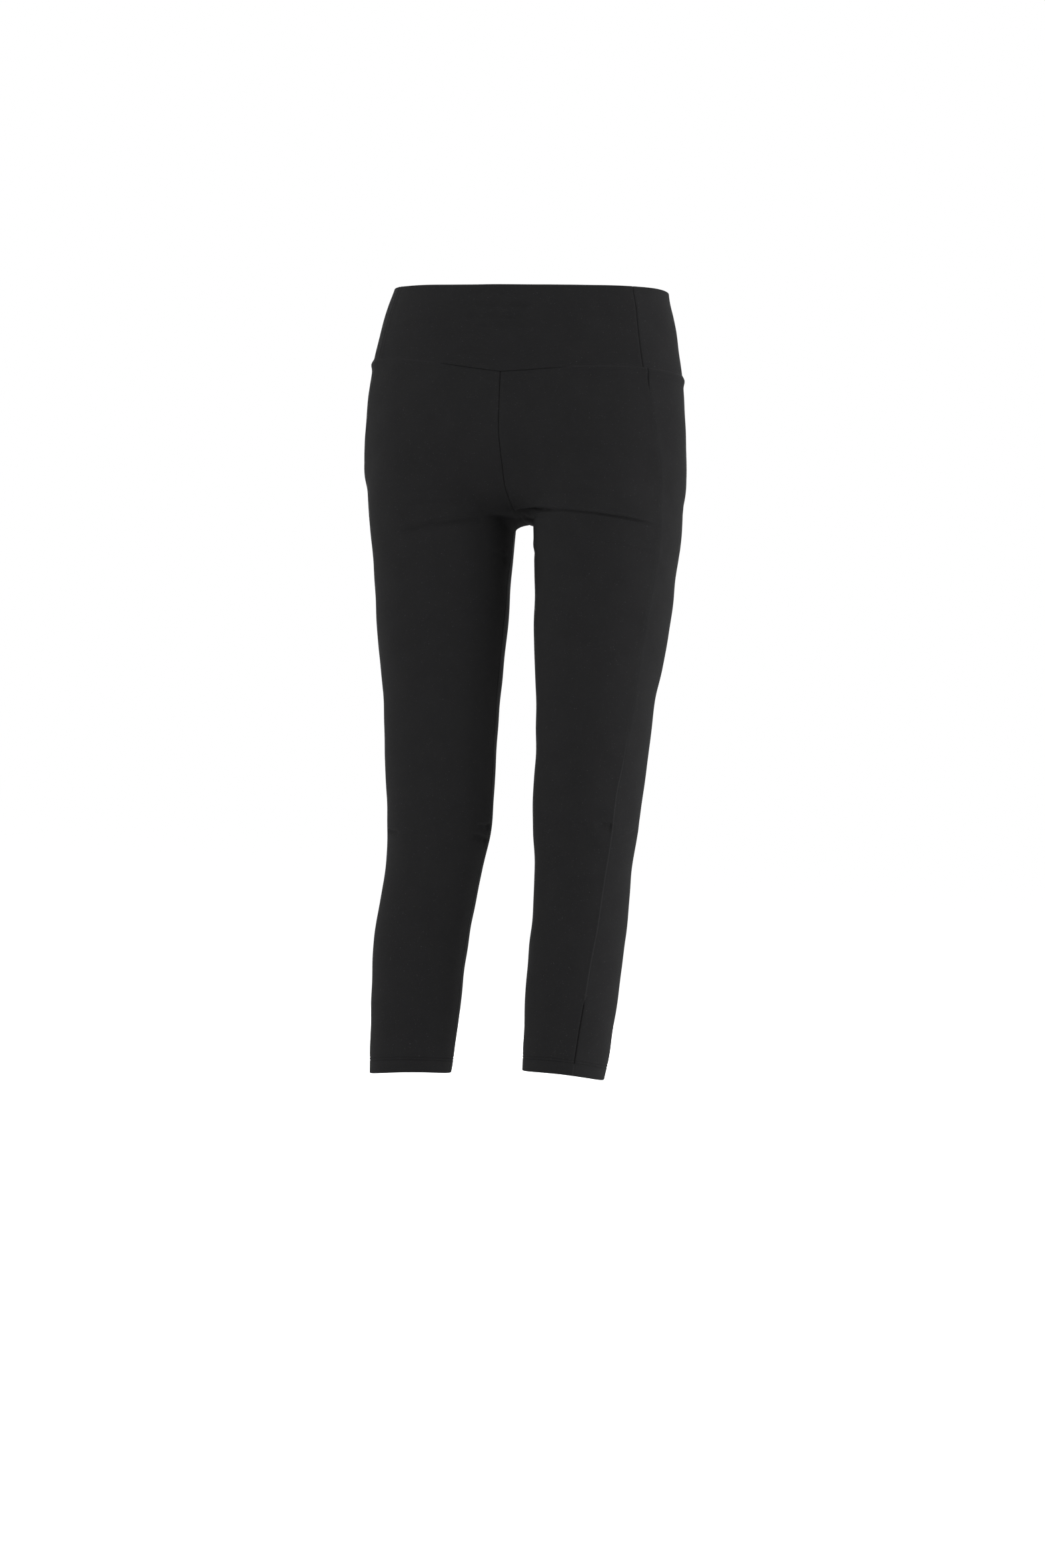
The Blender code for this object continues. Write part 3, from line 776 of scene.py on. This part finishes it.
def cloth_object(name, outer, inner, u, v, fuzz=None):
    """A closed piece of cloth between two grids of points, with a UV map in metres along it."""
    rows, columns = outer.shape[:2]
    count = rows * columns
    first = np.arange(count).reshape(rows, columns)
    corners = [first[:-1, :-1], first[1:, :-1], first[1:, 1:], first[:-1, 1:]]
    front = np.stack([c.ravel() for c in corners], -1)
    rim = np.concatenate([first[:, 0], first[-1, 1:], first[-2::-1, -1], first[0, -2:0:-1]])
    ahead = np.roll(rim, -1)
    edge = np.stack([ahead, rim, rim + count, ahead + count], -1)
    faces = np.concatenate([front, front[:, ::-1] + count, edge])
    points = np.concatenate([outer.reshape(-1, 3), inner.reshape(-1, 3)])
    a, b, c = (points[faces[:, k]] for k in (0, 1, 2))
    if np.einsum("ij,ij->i", a, np.cross(b, c)).sum() < 0:
        faces = faces[:, ::-1]
    made = mesh_object(name, points.tolist(), faces.tolist())
    mesh = made.data
    mesh.set_sharp_from_angle(angle=math.radians(SHARP_EDGE))
    corners = np.empty(len(mesh.loops), np.int32)
    mesh.loops.foreach_get("vertex_index", corners)
    places = np.stack([u.ravel(), v.ravel()], -1)[corners % count]
    mesh.uv_layers.new(name="cloth").data.foreach_set("uv", places.ravel())
    # A painted highlight along proud seams, as a mask on the outer face
    if fuzz is not None:
        raised = mesh.attributes.new("seam_fuzz", "FLOAT", "POINT")
        raised.data.foreach_set("value", np.concatenate([fuzz.ravel(), 0 * fuzz.ravel()]))
    return made


def tubes(name, lines, radius, sides):
    """Threads as one mesh of round tubes, one along each line of points."""
    points, faces, count = [], [], 0
    turn = np.linspace(0, 2 * math.pi, sides, endpoint=False)[:, None]
    for line in lines:
        tangent = np.gradient(line, axis=0)
        tangent /= np.linalg.norm(tangent, axis=1, keepdims=True)
        helper = (0, 0, 1) if abs(tangent[0, 2]) < NEARLY_UPRIGHT else (1, 0, 0)
        across = np.cross(tangent, helper)
        across /= np.linalg.norm(across, axis=1, keepdims=True)
        up = np.cross(across, tangent)
        ring = across[:, None] * np.cos(turn) + up[:, None] * np.sin(turn)
        points += (line[:, None] + radius * ring).reshape(-1, 3).tolist()
        index = count + np.arange(len(line) * sides).reshape(-1, sides)
        beside = np.roll(index, -1, axis=1)
        walls = np.stack([index[:-1], beside[:-1], beside[1:], index[1:]], -1)
        faces += walls.reshape(-1, 4).tolist()
        faces += [index[0, ::-1].tolist(), index[-1].tolist()]
        count += len(line) * sides
    return mesh_object(name, points, faces)


def leg_relief(points, side, face, down, from_inner, from_side):
    """How far each point of a leg panel is pressed in by its seams, stitching and creases."""
    z = points[..., 2]
    up = z - HEM[side]
    below = smooth((crotch_height() - z) / INSEAM_FROM)
    inner_groove = CENTRE_GROOVE + (INSEAM_GROOVE - CENTRE_GROOVE) * below
    press = inner_groove * hump(from_inner, 0, GROOVE_WIDTH)
    press -= CENTRE_RIDGE * hump(from_inner, RIDGE_AT, RIDGE_WIDTH)
    groove = curve(SIDE_SEAM_LIE, HAND[side], z) * MILLIMETRE
    ridge = curve(SIDE_SEAM_LIE, "ridge", z) * MILLIMETRE * (1 if face == BACK else RIDGE_IN_FRONT)
    press += np.maximum(groove, 0) * hump(from_side, 0, GROOVE_WIDTH)
    press += np.minimum(groove, 0) * hump(from_side, 0, BEAD_WIDTH[face])
    press -= ridge * hump(from_side, RIDGE_AT, RIDGE_WIDTH)
    outer_share = abs(points[..., 0]) / curve(BODY, "half_width", z)
    bulk = WAIST_BULK + WAIST_BULK_AT_SIDES * outer_share**WAIST_BULK_TURN
    press += waist_groove(points, down) - bulk * hump(down, WAIST_BULK_AT, WAIST_BULK_WIDTH)
    for height in STITCH_ROWS:
        press += STITCH_GROOVE * hump(up, height, STITCH_GROOVE_WIDTH)
    press -= STITCH_TUNNEL * hump(up, sum(STITCH_ROWS) / 2, STITCH_GROOVE_WIDTH)
    settled = smooth(down / SEAM_CALM) * smooth(up / SEAM_CALM)
    press += creases_on_leg(points, side) + creases_on_body(points, side, face) * settled
    return press + unevenness(points, side) - bulges(points, side)


@lru_cache(maxsize=None)
def leg_panel(side, face, t, gap, hem_turn):
    """The grid of one front or back panel, from the waist seam to the hem's turned edge."""
    radius, rows = t + gap / 2, RISE_ROWS[face]
    fold_top = HEM[side] + radius
    near_seam, near_edge = growing(EDGE_REACH, ROW_STEP), growing(EDGE_REACH, COLUMN_STEP)
    seat_length = length_of(seat_curve(face, np.linspace(0, 1, SEAT_CURVE_POINTS)))
    fractions = lane(seat_length, near_seam, CROTCH_STEPS, rows) / seat_length
    depth, rise = seat_curve(face, fractions).T
    side_rise = heights_down(WAIST_SEAM_SIDE, SIDE_ROW_AT_CROTCH, near_seam, CROTCH_STEPS, rows)
    to_hem = fold_top, CROTCH_STEPS, HEM_ROWS, LEG_ROWS
    inner_leg = heights_down(crotch_height(), *to_hem)[1:]
    side_leg = heights_down(SIDE_ROW_AT_CROTCH, *to_hem)[1:]
    fold = fold_top - radius * np.sin(FOLD_BEND)
    turned = fold_top + (hem_turn - radius) * np.linspace(0, 1, TURN_ROWS + 1)[1:]
    inner_z = np.concatenate([rise, inner_leg, fold, turned])
    side_z = np.concatenate([side_rise, side_leg, fold, turned])

    def place(shares):
        """The skin's points at shares from the inner edge to the side seam, on every row."""
        z = inner_z[:, None] + (side_z - inner_z)[:, None] * shares
        centre = waist_seam(0, face)
        bend_up = waist_seam(band_share(shares, side, face), face) - centre
        bend_up = bend_up - (WAIST_SEAM_SIDE - centre) * shares
        z = z + bend_up * (1 - smooth((rise[0] - inner_z)[:, None] / SEAM_SETTLES))
        first = abs(centre_angle(inner_z, face))[:, None]
        start = face * np.minimum(first, abs(centre_angle(z, face)))
        return skin(start + (seam_angle(z, side) - start) * shares, z)

    shares, from_inner, from_side = spread_shares(place, near_edge, near_edge, PANEL_COLUMNS[face])
    points = place(shares)
    points[: len(rise), 0] = np.stack([np.zeros_like(rise), depth, rise], -1)
    z = points[..., 2]
    down = waist_seam(band_share(shares, side, face), face) - z
    press = leg_relief(points, side, face, down, from_inner, from_side)
    sheet = Sheet(points, side, press, from_inner, z)
    sheet.from_inner, sheet.from_side, sheet.top_down = from_inner, from_side, rise[0] - inner_z
    sheet.rise_rows, sheet.flat_rows = len(rise), len(rise) + len(inner_leg)
    # A highlight painted along the waist seam by the side seams, and along the side seam where it
    # stands proud
    proud = np.clip(-curve(SIDE_SEAM_LIE, HAND[side], z) / PAINTED_SHINE_FROM, 0, 1)
    sheet.fuzz = band_seam_fuzz(points, down) + proud * hump(from_side, 0, PAINTED_SHINE_WIDTH)
    sheet.fold(sheet.flat_rows, TURN_ROWS, t, gap, 1)
    return sheet


def band_relief(points, side, face, up, from_side, height):
    """How far each point of a waistband is pressed in by its seams and wrinkles."""
    press = waist_groove(points, up) - BAND_LIP * hump(up, BAND_LIP_AT, BAND_LIP_WIDTH)
    press += BAND_SEAM_GROOVE[side] * hump(from_side, 0, GROOVE_WIDTH)
    press -= BAND_SEAM_RIDGE[side] * hump(from_side, RIDGE_AT, RIDGE_WIDTH)
    settled = smooth(up / SEAM_CALM) * smooth((height - up) / SEAM_CALM)
    press += creases_on_body(points, side, face) * settled
    return press + unevenness(points, side)


def on_band(share, z, side, face):
    """The skin's points on a waistband, at shares from the centre line to the side seam."""
    start = centre_angle(z, face)
    return skin(start + (seam_angle(z, side, BAND_SEAM) - start) * share, z)


def half_band(side, face, t, gap):
    """The grid of one half of a waistband, a strip folded at the top edge."""

    def place(shares):
        """The skin's points half way up, at shares from the centre to the side seam."""
        return on_band(shares, np.atleast_2d(waist_seam(shares, face) / 2), side, face)

    near_seam, near_edge = growing(EDGE_REACH, ROW_STEP), growing(EDGE_REACH, COLUMN_STEP)
    shares, _, _ = spread_shares(place, np.array([0.0]), near_edge, BAND_COLUMNS[face])
    share, radius = shares[0], t + gap / 2
    bottom = waist_seam(share, face)
    x = side * on_band(share, np.zeros_like(share), side, face)[:, 0]
    top = TOP_TILT * x + TOP_RISE * (x / curve(BODY, "half_width", 0.0)) ** 2 - radius
    outside_z = bottom + lane(top - bottom, near_seam, near_seam, BAND_ROWS).T
    fold_z = top + radius * np.sin(FOLD_BEND)[:, None]
    inside_z = top - (top - bottom) * np.linspace(0, 1, BAND_LINING_ROWS + 1)[1:, None]
    z = np.concatenate([outside_z, fold_z, inside_z])
    points = on_band(share, z, side, face)
    points[:, 0, 0] = 0.0
    along = distances(points)
    press = band_relief(points, side, face, z - bottom, along[:, -1:] - along, top - bottom)
    sheet = Sheet(points, side, press, side * along, z)
    # The highlight is painted on the band's outside only
    sheet.fuzz = band_seam_fuzz(points, z - bottom)
    sheet.fuzz[len(outside_z) :] = 0.0
    sheet.fold(len(outside_z), BAND_LINING_ROWS, t, gap, -1)
    return sheet


def waistband(face, t, gap):
    """The grids of one waistband, both halves joined from side seam to side seam."""
    right, left = (half_band(side, face, t, gap) for side in (RIGHT, LEFT))
    return {
        name: np.concatenate([getattr(right, name)[:, :0:-1], getattr(left, name)], axis=1)
        for name in ("outer", "inner", "u", "v", "fuzz")
    }


def resampled(line, count):
    """Points evenly spread along a line."""
    along = distances(line)
    return picked(np.linspace(0, along[-1], count), along, line)


def at_height(sheet, grid, height, rows):
    """A line across a grid at a height, between the level rows near a hem."""
    heights = sheet.v[rows, 0]
    order = np.argsort(heights)
    place = np.interp(height, heights[order], np.arange(len(order)))
    low = min(int(place), len(order) - 2)
    level = grid[rows][order]
    return level[low] + (level[low + 1] - level[low]) * (place - low)


def stitched(line, outwards, pitch, radius):
    """A thread that runs along a line, over the cloth and down through it at every stitch."""
    count = max(2, round(length_of(line) / pitch))
    places = (np.arange(count)[:, None] + STITCH_BENDS).ravel()
    fraction = places % 1
    lift = smooth(np.minimum(fraction, 1 - fraction) / STITCH_TURN)
    along = distances(line)
    wanted = places / count * along[-1]
    proud = radius * (STITCH_LIFT * lift - STITCH_SINK)
    return picked(wanted, along, line) + picked(wanted, along, outwards) * proud[:, None]


def zigzag(near, far, pitch):
    """A thread that crosses back and forth between two lines."""
    count = max(2, round(length_of(near) / pitch))
    line = np.empty((2 * count, 3))
    line[0::2], line[1::2] = resampled(near, count), resampled(far, count)
    return line


def leg_panels(cloth):
    """Each leg panel's side, face and grid, in order."""
    sizes = cloth.thickness, cloth.layer_gap, cloth.hem_turn
    for side in (LEFT, RIGHT):
        for face in (FRONT, BACK):
            yield side, face, leg_panel(side, face, *sizes)


def allowances(side, face, sheet, hem_turn):
    """Where a leg panel's seam allowances lie: seam, rows, columns, and distances from its edge."""
    hem_top = HEM[side] + hem_turn + ALLOWANCE_ABOVE_HEM
    rows_down = int((sheet.v[: sheet.flat_rows, 0] > hem_top).sum())
    wide, below = ALLOWANCE_COLUMNS, ALLOWANCE_COLUMNS + 1
    yield "waist", slice(0, wide), slice(1, -1), sheet.top_down[:, None] + 0 * sheet.u
    if face == BACK:
        yield "side", slice(below, rows_down), slice(-wide, None), sheet.from_side
    if side == LEFT:
        yield "centre", slice(below, sheet.rise_rows), slice(0, wide), sheet.from_inner
    if face == BACK:
        rows = slice(sheet.rise_rows + INSEAM_ROWS_DOWN, rows_down)
        yield "inseam", rows, slice(0, wide), sheet.from_inner


def add_to_model(piece, material, slot, *nodes):
    """Gives a piece its material, hides the solids it stands for and hangs it on the root; slot is
    not used.
    """
    piece.data.materials.append(material)
    if nodes:
        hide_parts(*nodes)
    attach(piece, "root")


def feed(tree, node, inputs):
    """Links sockets to a node's inputs, or sets them to values."""
    for name, value in inputs.items():
        if hasattr(value, "is_output"):
            tree.links.new(value, node.inputs[name])
        else:
            node.inputs[name].default_value = value


def add_node(tree, kind, inputs=None, **settings):
    """A new node with its settings and its inputs."""
    node = tree.nodes.new(kind)
    for name, value in settings.items():
        setattr(node, name, value)
    feed(tree, node, inputs or {})
    return node


def new_group(name, output, **inputs):
    """A shader node group with its sockets; gives the group, its inputs and its output."""
    group = bpy.data.node_groups.new(name, "ShaderNodeTree")
    for label, default in inputs.items():
        kind = "NodeSocketColor" if isinstance(default, tuple) else "NodeSocketFloat"
        socket = group.interface.new_socket(label, in_out="INPUT", socket_type=kind)
        socket.default_value = default
    kind = "NodeSocketColor" if output == "Color" else "NodeSocketFloat"
    group.interface.new_socket(output, in_out="OUTPUT", socket_type=kind)
    given, result = group.nodes.new("NodeGroupInput"), group.nodes.new("NodeGroupOutput")
    return group, given.outputs, result.inputs[output]


def maths(tree, operation, *values):
    """The result of a maths node fed by sockets or numbers."""
    inputs = dict(enumerate(values))
    return add_node(tree, "ShaderNodeMath", inputs, operation=operation).outputs[0]


def noise(tree, scale, detail):
    """Noise laid on an object's own coordinates."""
    place = add_node(tree, "ShaderNodeTexCoord").outputs["Object"]
    inputs = {"Vector": place, "Scale": scale, "Detail": detail}
    return add_node(tree, "ShaderNodeTexNoise", inputs).outputs[0]


def mixed(tree, factor, start, end):
    """One colour mixed towards another."""
    inputs = {"Factor": factor, 6: start, 7: end}
    return add_node(tree, "ShaderNodeMix", inputs, data_type="RGBA").outputs[2]


def knit_height_group():
    """The height of plain jersey: ribs of stitches along the cloth, crossed by their courses."""
    tree, given, height = new_group("Knit Height", "Height", Wale=WALE, Course=COURSE)
    place = add_node(tree, "ShaderNodeTexCoord").outputs["UV"]
    apart = add_node(tree, "ShaderNodeSeparateXYZ", {0: place}).outputs
    across = maths(tree, "DIVIDE", apart[0], given["Wale"])
    along = maths(tree, "DIVIDE", apart[1], given["Course"])
    rib = maths(tree, "ABSOLUTE", maths(tree, "SINE", maths(tree, "MULTIPLY", across, math.pi)))
    loop = maths(tree, "ADD", along, maths(tree, "MULTIPLY", rib, COURSE_SLANT))
    loop = maths(tree, "SINE", maths(tree, "MULTIPLY", loop, 2 * math.pi))
    loop = maths(tree, "MULTIPLY_ADD", loop, COURSE_RELIEF, 1 - COURSE_RELIEF)
    tree.links.new(maths(tree, "MULTIPLY", rib, loop), height)


def mottle_group():
    """A dyed cloth's uneven colour: slow mottling and flecks of lint, with a highlight painted
    along its proud seams.
    """
    tones = {"Dark": BLACK, "Light": BLACK, "Lint And Painted Shine": BLACK}
    tree, given, result = new_group("Mottle", "Color", **tones, Fuzz=PAINTED_SHINE)
    lint = noise(tree, LINT_SCALE, LINT_DETAIL)
    shown = {"Value": lint, "From Min": LINT_FROM, "From Max": LINT_TO}
    flecks = add_node(tree, "ShaderNodeMapRange", shown).outputs["Result"]
    # A highlight painted along proud seams, lightening the cloth towards the lint's colour
    raised = add_node(tree, "ShaderNodeAttribute", attribute_name="seam_fuzz").outputs["Fac"]
    fuzz = maths(tree, "MULTIPLY", raised, given["Fuzz"])
    mottling = noise(tree, MOTTLE_SCALE, MOTTLE_DETAIL)
    colour = mixed(tree, mottling, given["Dark"], given["Light"])
    colour = mixed(tree, flecks, colour, given["Lint And Painted Shine"])
    tree.links.new(mixed(tree, fuzz, colour, given["Lint And Painted Shine"]), result)


def twist_group():
    """The height of a spun thread's fine twist."""
    tree, _, height = new_group("Thread Twist", "Height")
    tree.links.new(noise(tree, TWIST_SCALE, TWIST_DETAIL), height)


def new_material(name, colours, height_group, roughness, specular, relief_depth, sheen):
    """A fabric material: mottled colour, and fine relief from a group's height."""
    material, groups = bpy.data.materials.new(name), bpy.data.node_groups
    material.use_nodes = True
    tree = material.node_tree
    tones = {label: (*colour, 1) for label, colour in zip(("Dark", "Light", "Lint And Painted Shine"), colours)}
    mottle = add_node(tree, "ShaderNodeGroup", node_tree=groups["Mottle"])
    feed(tree, mottle, tones)
    relief = add_node(tree, "ShaderNodeGroup", node_tree=groups[height_group])
    depth = {"Height": relief.outputs["Height"], "Distance": relief_depth, "Strength": 1.0}
    looks = {
        "Base Color": mottle.outputs["Color"],
        "Normal": add_node(tree, "ShaderNodeBump", depth).outputs["Normal"],
        "Roughness": roughness,
        "Specular IOR Level": specular,
        "Sheen Weight": sheen,
        "Sheen Roughness": SHEEN_ROUGHNESS,
    }
    feed(tree, tree.nodes["Principled BSDF"], looks)


def materials(settings):
    """The jersey of the front and the back, and the thread, made once."""
    found = bpy.data.materials
    if "Black Jersey" not in found:
        knit_height_group()
        mottle_group()
        twist_group()
        tones = settings.jersey_dark, settings.jersey_light, settings.lint_and_painted_shine
        # The back panels get a copy of the jersey painted lighter, a painted sheen
        for name, lift in (("Black Jersey", 1.0), ("Black Jersey Painted Sheen", settings.across)):
            colours = [[lift * part for part in tone] for tone in tones]
            new_material(name, colours, "Knit Height", sheen=settings.sheen, **JERSEY)
        new_material("Black Thread", [settings.thread] * 3, "Thread Twist", **THREAD)
    return {FRONT: found["Black Jersey"], BACK: found["Black Jersey Painted Sheen"]}, found["Black Thread"]


def soft_light(name, place, size, power):
    """A large soft light that faces the garment."""
    lamp = bpy.data.lights.new(name, "AREA")
    lamp.shape, lamp.size, lamp.size_y, lamp.energy = "RECTANGLE", size[0], size[1], power
    made = bpy.data.objects.new(name, lamp)
    bpy.context.scene.collection.objects.link(made)
    made.location = place
    towards = Vector(LIGHTS_FACE) - Vector(place)
    made.rotation_euler = towards.to_track_quat("-Z", "Y").to_euler()
    return made


class LeggingsCloth(bpy.types.PropertyGroup):
    """Sizes of the cloth, kept with the scene."""

    thickness: FloatProperty(
        name="Thickness", description="Thickness of the jersey", default=0.0011, unit="LENGTH"
    )
    layer_gap: FloatProperty(
        name="Layer Gap", description="Air between two folded layers", default=0.0003, unit="LENGTH"
    )
    hem_turn: FloatProperty(
        name="Hem Turn", description="Cloth turned up inside a hem", default=0.0185, unit="LENGTH"
    )


class LeggingsSewing(bpy.types.PropertyGroup):
    """Sizes of the stitching, kept with the scene."""

    stitch: FloatProperty(
        name="Stitch", description="Length of one hem stitch", default=0.0026, unit="LENGTH"
    )
    overlock: FloatProperty(
        name="Overlock", description="Length of one stitch inside", default=0.0032, unit="LENGTH"
    )
    thread_radius: FloatProperty(
        name="Thread Radius", description="Half its thickness", default=0.00017, unit="LENGTH"
    )
    sides: IntProperty(name="Sides", description="Sides of a thread's section", default=5)


class LeggingsColours(bpy.types.PropertyGroup):
    """Colours of the cloth and the thread, kept with the scene."""

    jersey_dark: FloatVectorProperty(
        name="Jersey Dark",
        description="Darker tone of the jersey",
        default=(0.0040, 0.0040, 0.0042),
        subtype="COLOR",
    )
    jersey_light: FloatVectorProperty(
        name="Jersey Light",
        description="Lighter tone of the jersey",
        default=(0.0054, 0.0054, 0.0056),
        subtype="COLOR",
    )
    # One colour for the specks of lint and for the highlight painted along proud seams
    lint_and_painted_shine: FloatVectorProperty(
        name="Lint And Painted Shine",
        description="Specks of lint, and the fuzz on proud seams",
        default=(0.020, 0.020, 0.0205),
        subtype="COLOR",
    )
    thread: FloatVectorProperty(
        name="Thread",
        description="Sewing thread",
        default=(0.0030, 0.0030, 0.0031),
        subtype="COLOR",
    )
    # How much lighter the back panels are painted than the front, as a painted sheen
    across: FloatProperty(
        name="Painted Back Sheen", description="How light the back is beside the front", default=1.12
    )
    sheen: FloatProperty(name="Sheen", description="Fuzz that catches the light", default=0.010)


class LeggingsOperator:
    """What the building operators share."""

    bl_options = {"REGISTER", "UNDO"}

    @classmethod
    def poll(cls, context):
        return context.mode == "OBJECT"


class LEGGINGS_OT_panels(LeggingsOperator, bpy.types.Operator):
    """Build the four leg panels, each one sheet with its hem turned up"""

    bl_idname = "leggings.panels"
    bl_label = "Leg Panels"

    def execute(self, context):
        cloth, jersey = context.scene.leggings_cloth, materials(context.scene.leggings_colours)[0]
        for side, face, sheet in leg_panels(cloth):
            name = FACE[face] + "_" + HAND[side]
            grids = sheet.outer, sheet.inner, sheet.u, sheet.v, sheet.fuzz
            made = cloth_object(name + "_panel", *grids)
            add_to_model(made, jersey[face], "leg_jersey", name)
            width, length, area = PANEL_CUT[name]
        return {"FINISHED"}


class LEGGINGS_OT_waistbands(LeggingsOperator, bpy.types.Operator):
    """Build the two waistbands, each folded at the top edge"""

    bl_idname = "leggings.waistbands"
    bl_label = "Waistbands"

    def execute(self, context):
        cloth, jersey = context.scene.leggings_cloth, materials(context.scene.leggings_colours)[0]
        for face in (FRONT, BACK):
            name = "waistband_" + FACE[face]
            grids = waistband(face, cloth.thickness, cloth.layer_gap)
            made = cloth_object(name + "_cloth", **grids)
            add_to_model(made, jersey[face], "waistband_jersey", name)
        return {"FINISHED"}


class LEGGINGS_OT_allowances(LeggingsOperator, bpy.types.Operator):
    """Build the overlocked seam allowances on the inside, with their threads"""

    bl_idname = "leggings.allowances"
    bl_label = "Seam Allowances"

    def execute(self, context):
        cloth, sewing = context.scene.leggings_cloth, context.scene.leggings_sewing
        jersey, thread = materials(context.scene.leggings_colours)
        threads, start = [], cloth.thickness + ALLOWANCE_LIFT
        for side, face, sheet in leg_panels(cloth):
            for seam, rows, columns, across in allowances(side, face, sheet, cloth.hem_turn):
                thins = np.clip(across / ALLOWANCE_WIDTH, 0, 1) ** ALLOWANCE_THINS_LATE
                depth = start + ALLOWANCE_THICKNESS * (1 - ALLOWANCE_THINS * thins)
                faces = [sheet.face(inset)[rows, columns] for inset in (0 * depth + start, depth)]
                places = sheet.u[rows, columns], sheet.v[rows, columns]
                name = "_".join((seam, "allowance", FACE[face], HAND[side]))
                add_to_model(cloth_object(name, *faces, *places), jersey[face], "leg_jersey")
                grid = sheet.face(depth + OVERLOCK_LIFT * sewing.thread_radius)[rows, columns]
                lines = grid if seam == "waist" else grid.swapaxes(0, 1)
                lines = lines[::-1] if seam == "side" else lines
                near, far = lines[OVERLOCK_LINE], lines[-1]
                threads += [zigzag(near, far, sewing.overlock), near]
        made = tubes("overlock_threads", threads, sewing.thread_radius, sewing.sides)
        add_to_model(made, thread, "sewing_thread")
        return {"FINISHED"}


class LEGGINGS_OT_hems(LeggingsOperator, bpy.types.Operator):
    """Sew the hems: two rows of stitches outside, and a thread that crosses between them inside"""

    bl_idname = "leggings.hems"
    bl_label = "Hem Stitching"

    def execute(self, context):
        cloth, sewing = context.scene.leggings_cloth, context.scene.leggings_sewing
        thread = materials(context.scene.leggings_colours)[1]
        lines, radius = {LEFT: [], RIGHT: []}, sewing.thread_radius
        for side, _, sheet in leg_panels(cloth):
            flat, turned = slice(0, sheet.flat_rows), slice(sheet.flat_rows + FOLD_STEPS, None)
            outwards = sheet.normal * np.array([side, 1, 1])
            inside = []
            for height in STITCH_ROWS:
                place = HEM[side] + height
                line = at_height(sheet, sheet.outer, place, flat)
                normal = at_height(sheet, outwards, place, flat)
                lines[side].append(stitched(line, normal, sewing.stitch, radius))
                crossing = at_height(sheet, sheet.outer, place, turned)
                inside.append(crossing - normal * radius * CROSSING_SINK)
            lines[side].append(zigzag(*inside, sewing.stitch))
        for side, threads in lines.items():
            made = tubes("hem_stitching_" + HAND[side], threads, radius, sewing.sides)
            add_to_model(made, thread, "sewing_thread")
        return {"FINISHED"}


class LEGGINGS_OT_stage(LeggingsOperator, bpy.types.Operator):
    """Set out the pale floor, the soft lights and the camera"""

    bl_idname = "leggings.stage"
    bl_label = "Studio"

    def execute(self, context):
        scene = context.scene
        scene.world = bpy.data.worlds.new("Studio")
        scene.world.use_nodes = True
        tree = scene.world.node_tree
        feed(tree, tree.nodes["Background"], {"Color": WHITE, "Strength": 1.0})
        corners = [(FLOOR_REACH * x, FLOOR_REACH * y, FLOOR) for x, y in FLOOR_CORNERS]
        floor = mesh_object("floor", corners, [(0, 1, 2, 3)])
        pale = bpy.data.materials.new("Pale Floor")
        pale.use_nodes = True
        looks = {"Base Color": WHITE, "Roughness": 1.0, "Specular IOR Level": 0.0}
        feed(pale.node_tree, pale.node_tree.nodes["Principled BSDF"], looks)
        floor.data.materials.append(pale)
        lights = [soft_light(*row) for row in LIGHTS]
        lens = bpy.data.cameras.new("Camera")
        lens.sensor_width, lens.lens = SENSOR, SENSOR * CAMERA_DISTANCE / PICTURE_HEIGHT
        camera = bpy.data.objects.new("Camera", lens)
        scene.collection.objects.link(camera)
        turn, roll = math.radians(CAMERA_AZIMUTH), math.radians(CAMERA_ROLL)
        right = Vector((math.cos(turn), math.sin(turn), 0))
        back = Vector((math.sin(turn), -math.cos(turn), 0))
        up = Vector((0, 0, 1))
        across = math.cos(roll) * right + math.sin(roll) * up
        upright = math.cos(roll) * up - math.sin(roll) * right
        camera.rotation_euler = Matrix((across, upright, back)).transposed().to_euler()
        camera.location = back * CAMERA_DISTANCE + right * CAMERA_ASIDE + up * CAMERA_HEIGHT
        scene.camera = camera
        scene.view_settings.view_transform = "Standard"
        return {"FINISHED"}


class LEGGINGS_PT_sidebar(bpy.types.Panel):
    """The sizes, the colours and a button for each step"""

    bl_idname = "LEGGINGS_PT_sidebar"
    bl_label = "Leggings"
    bl_space_type = "VIEW_3D"
    bl_region_type = "UI"
    bl_category = "Leggings"

    def draw(self, context):
        for part in SETTINGS:
            settings = getattr(context.scene, part)
            box = self.layout.box()
            box.label(text=part.split("_")[1].title())
            for name in settings.bl_rna.properties.keys():
                if name not in ("rna_type", "name"):
                    box.prop(settings, name)
        column = self.layout.column(align=True)
        for step in STEPS:
            column.operator(step.bl_idname)


STEPS = (
    LEGGINGS_OT_panels,
    LEGGINGS_OT_waistbands,
    LEGGINGS_OT_allowances,
    LEGGINGS_OT_hems,
    LEGGINGS_OT_stage,
)
SETTINGS = {
    "leggings_cloth": LeggingsCloth,
    "leggings_sewing": LeggingsSewing,
    "leggings_colours": LeggingsColours,
}
CLASSES = (*SETTINGS.values(), *STEPS, LEGGINGS_PT_sidebar)


def register():
    """Adds the classes and the scene's settings."""
    for cls in CLASSES:
        bpy.utils.register_class(cls)
    for name, group in SETTINGS.items():
        setattr(bpy.types.Scene, name, PointerProperty(type=group))


def unregister():
    """Takes the settings and the classes away again."""
    for name in SETTINGS:
        delattr(bpy.types.Scene, name)
    for cls in reversed(CLASSES):
        bpy.utils.unregister_class(cls)


def main():
    """Builds the whole scene in order."""
    register()
    for step in STEPS:
        group, name = step.bl_idname.split(".")
        getattr(getattr(bpy.ops, group), name)()


if __name__ == "__main__":
    main()
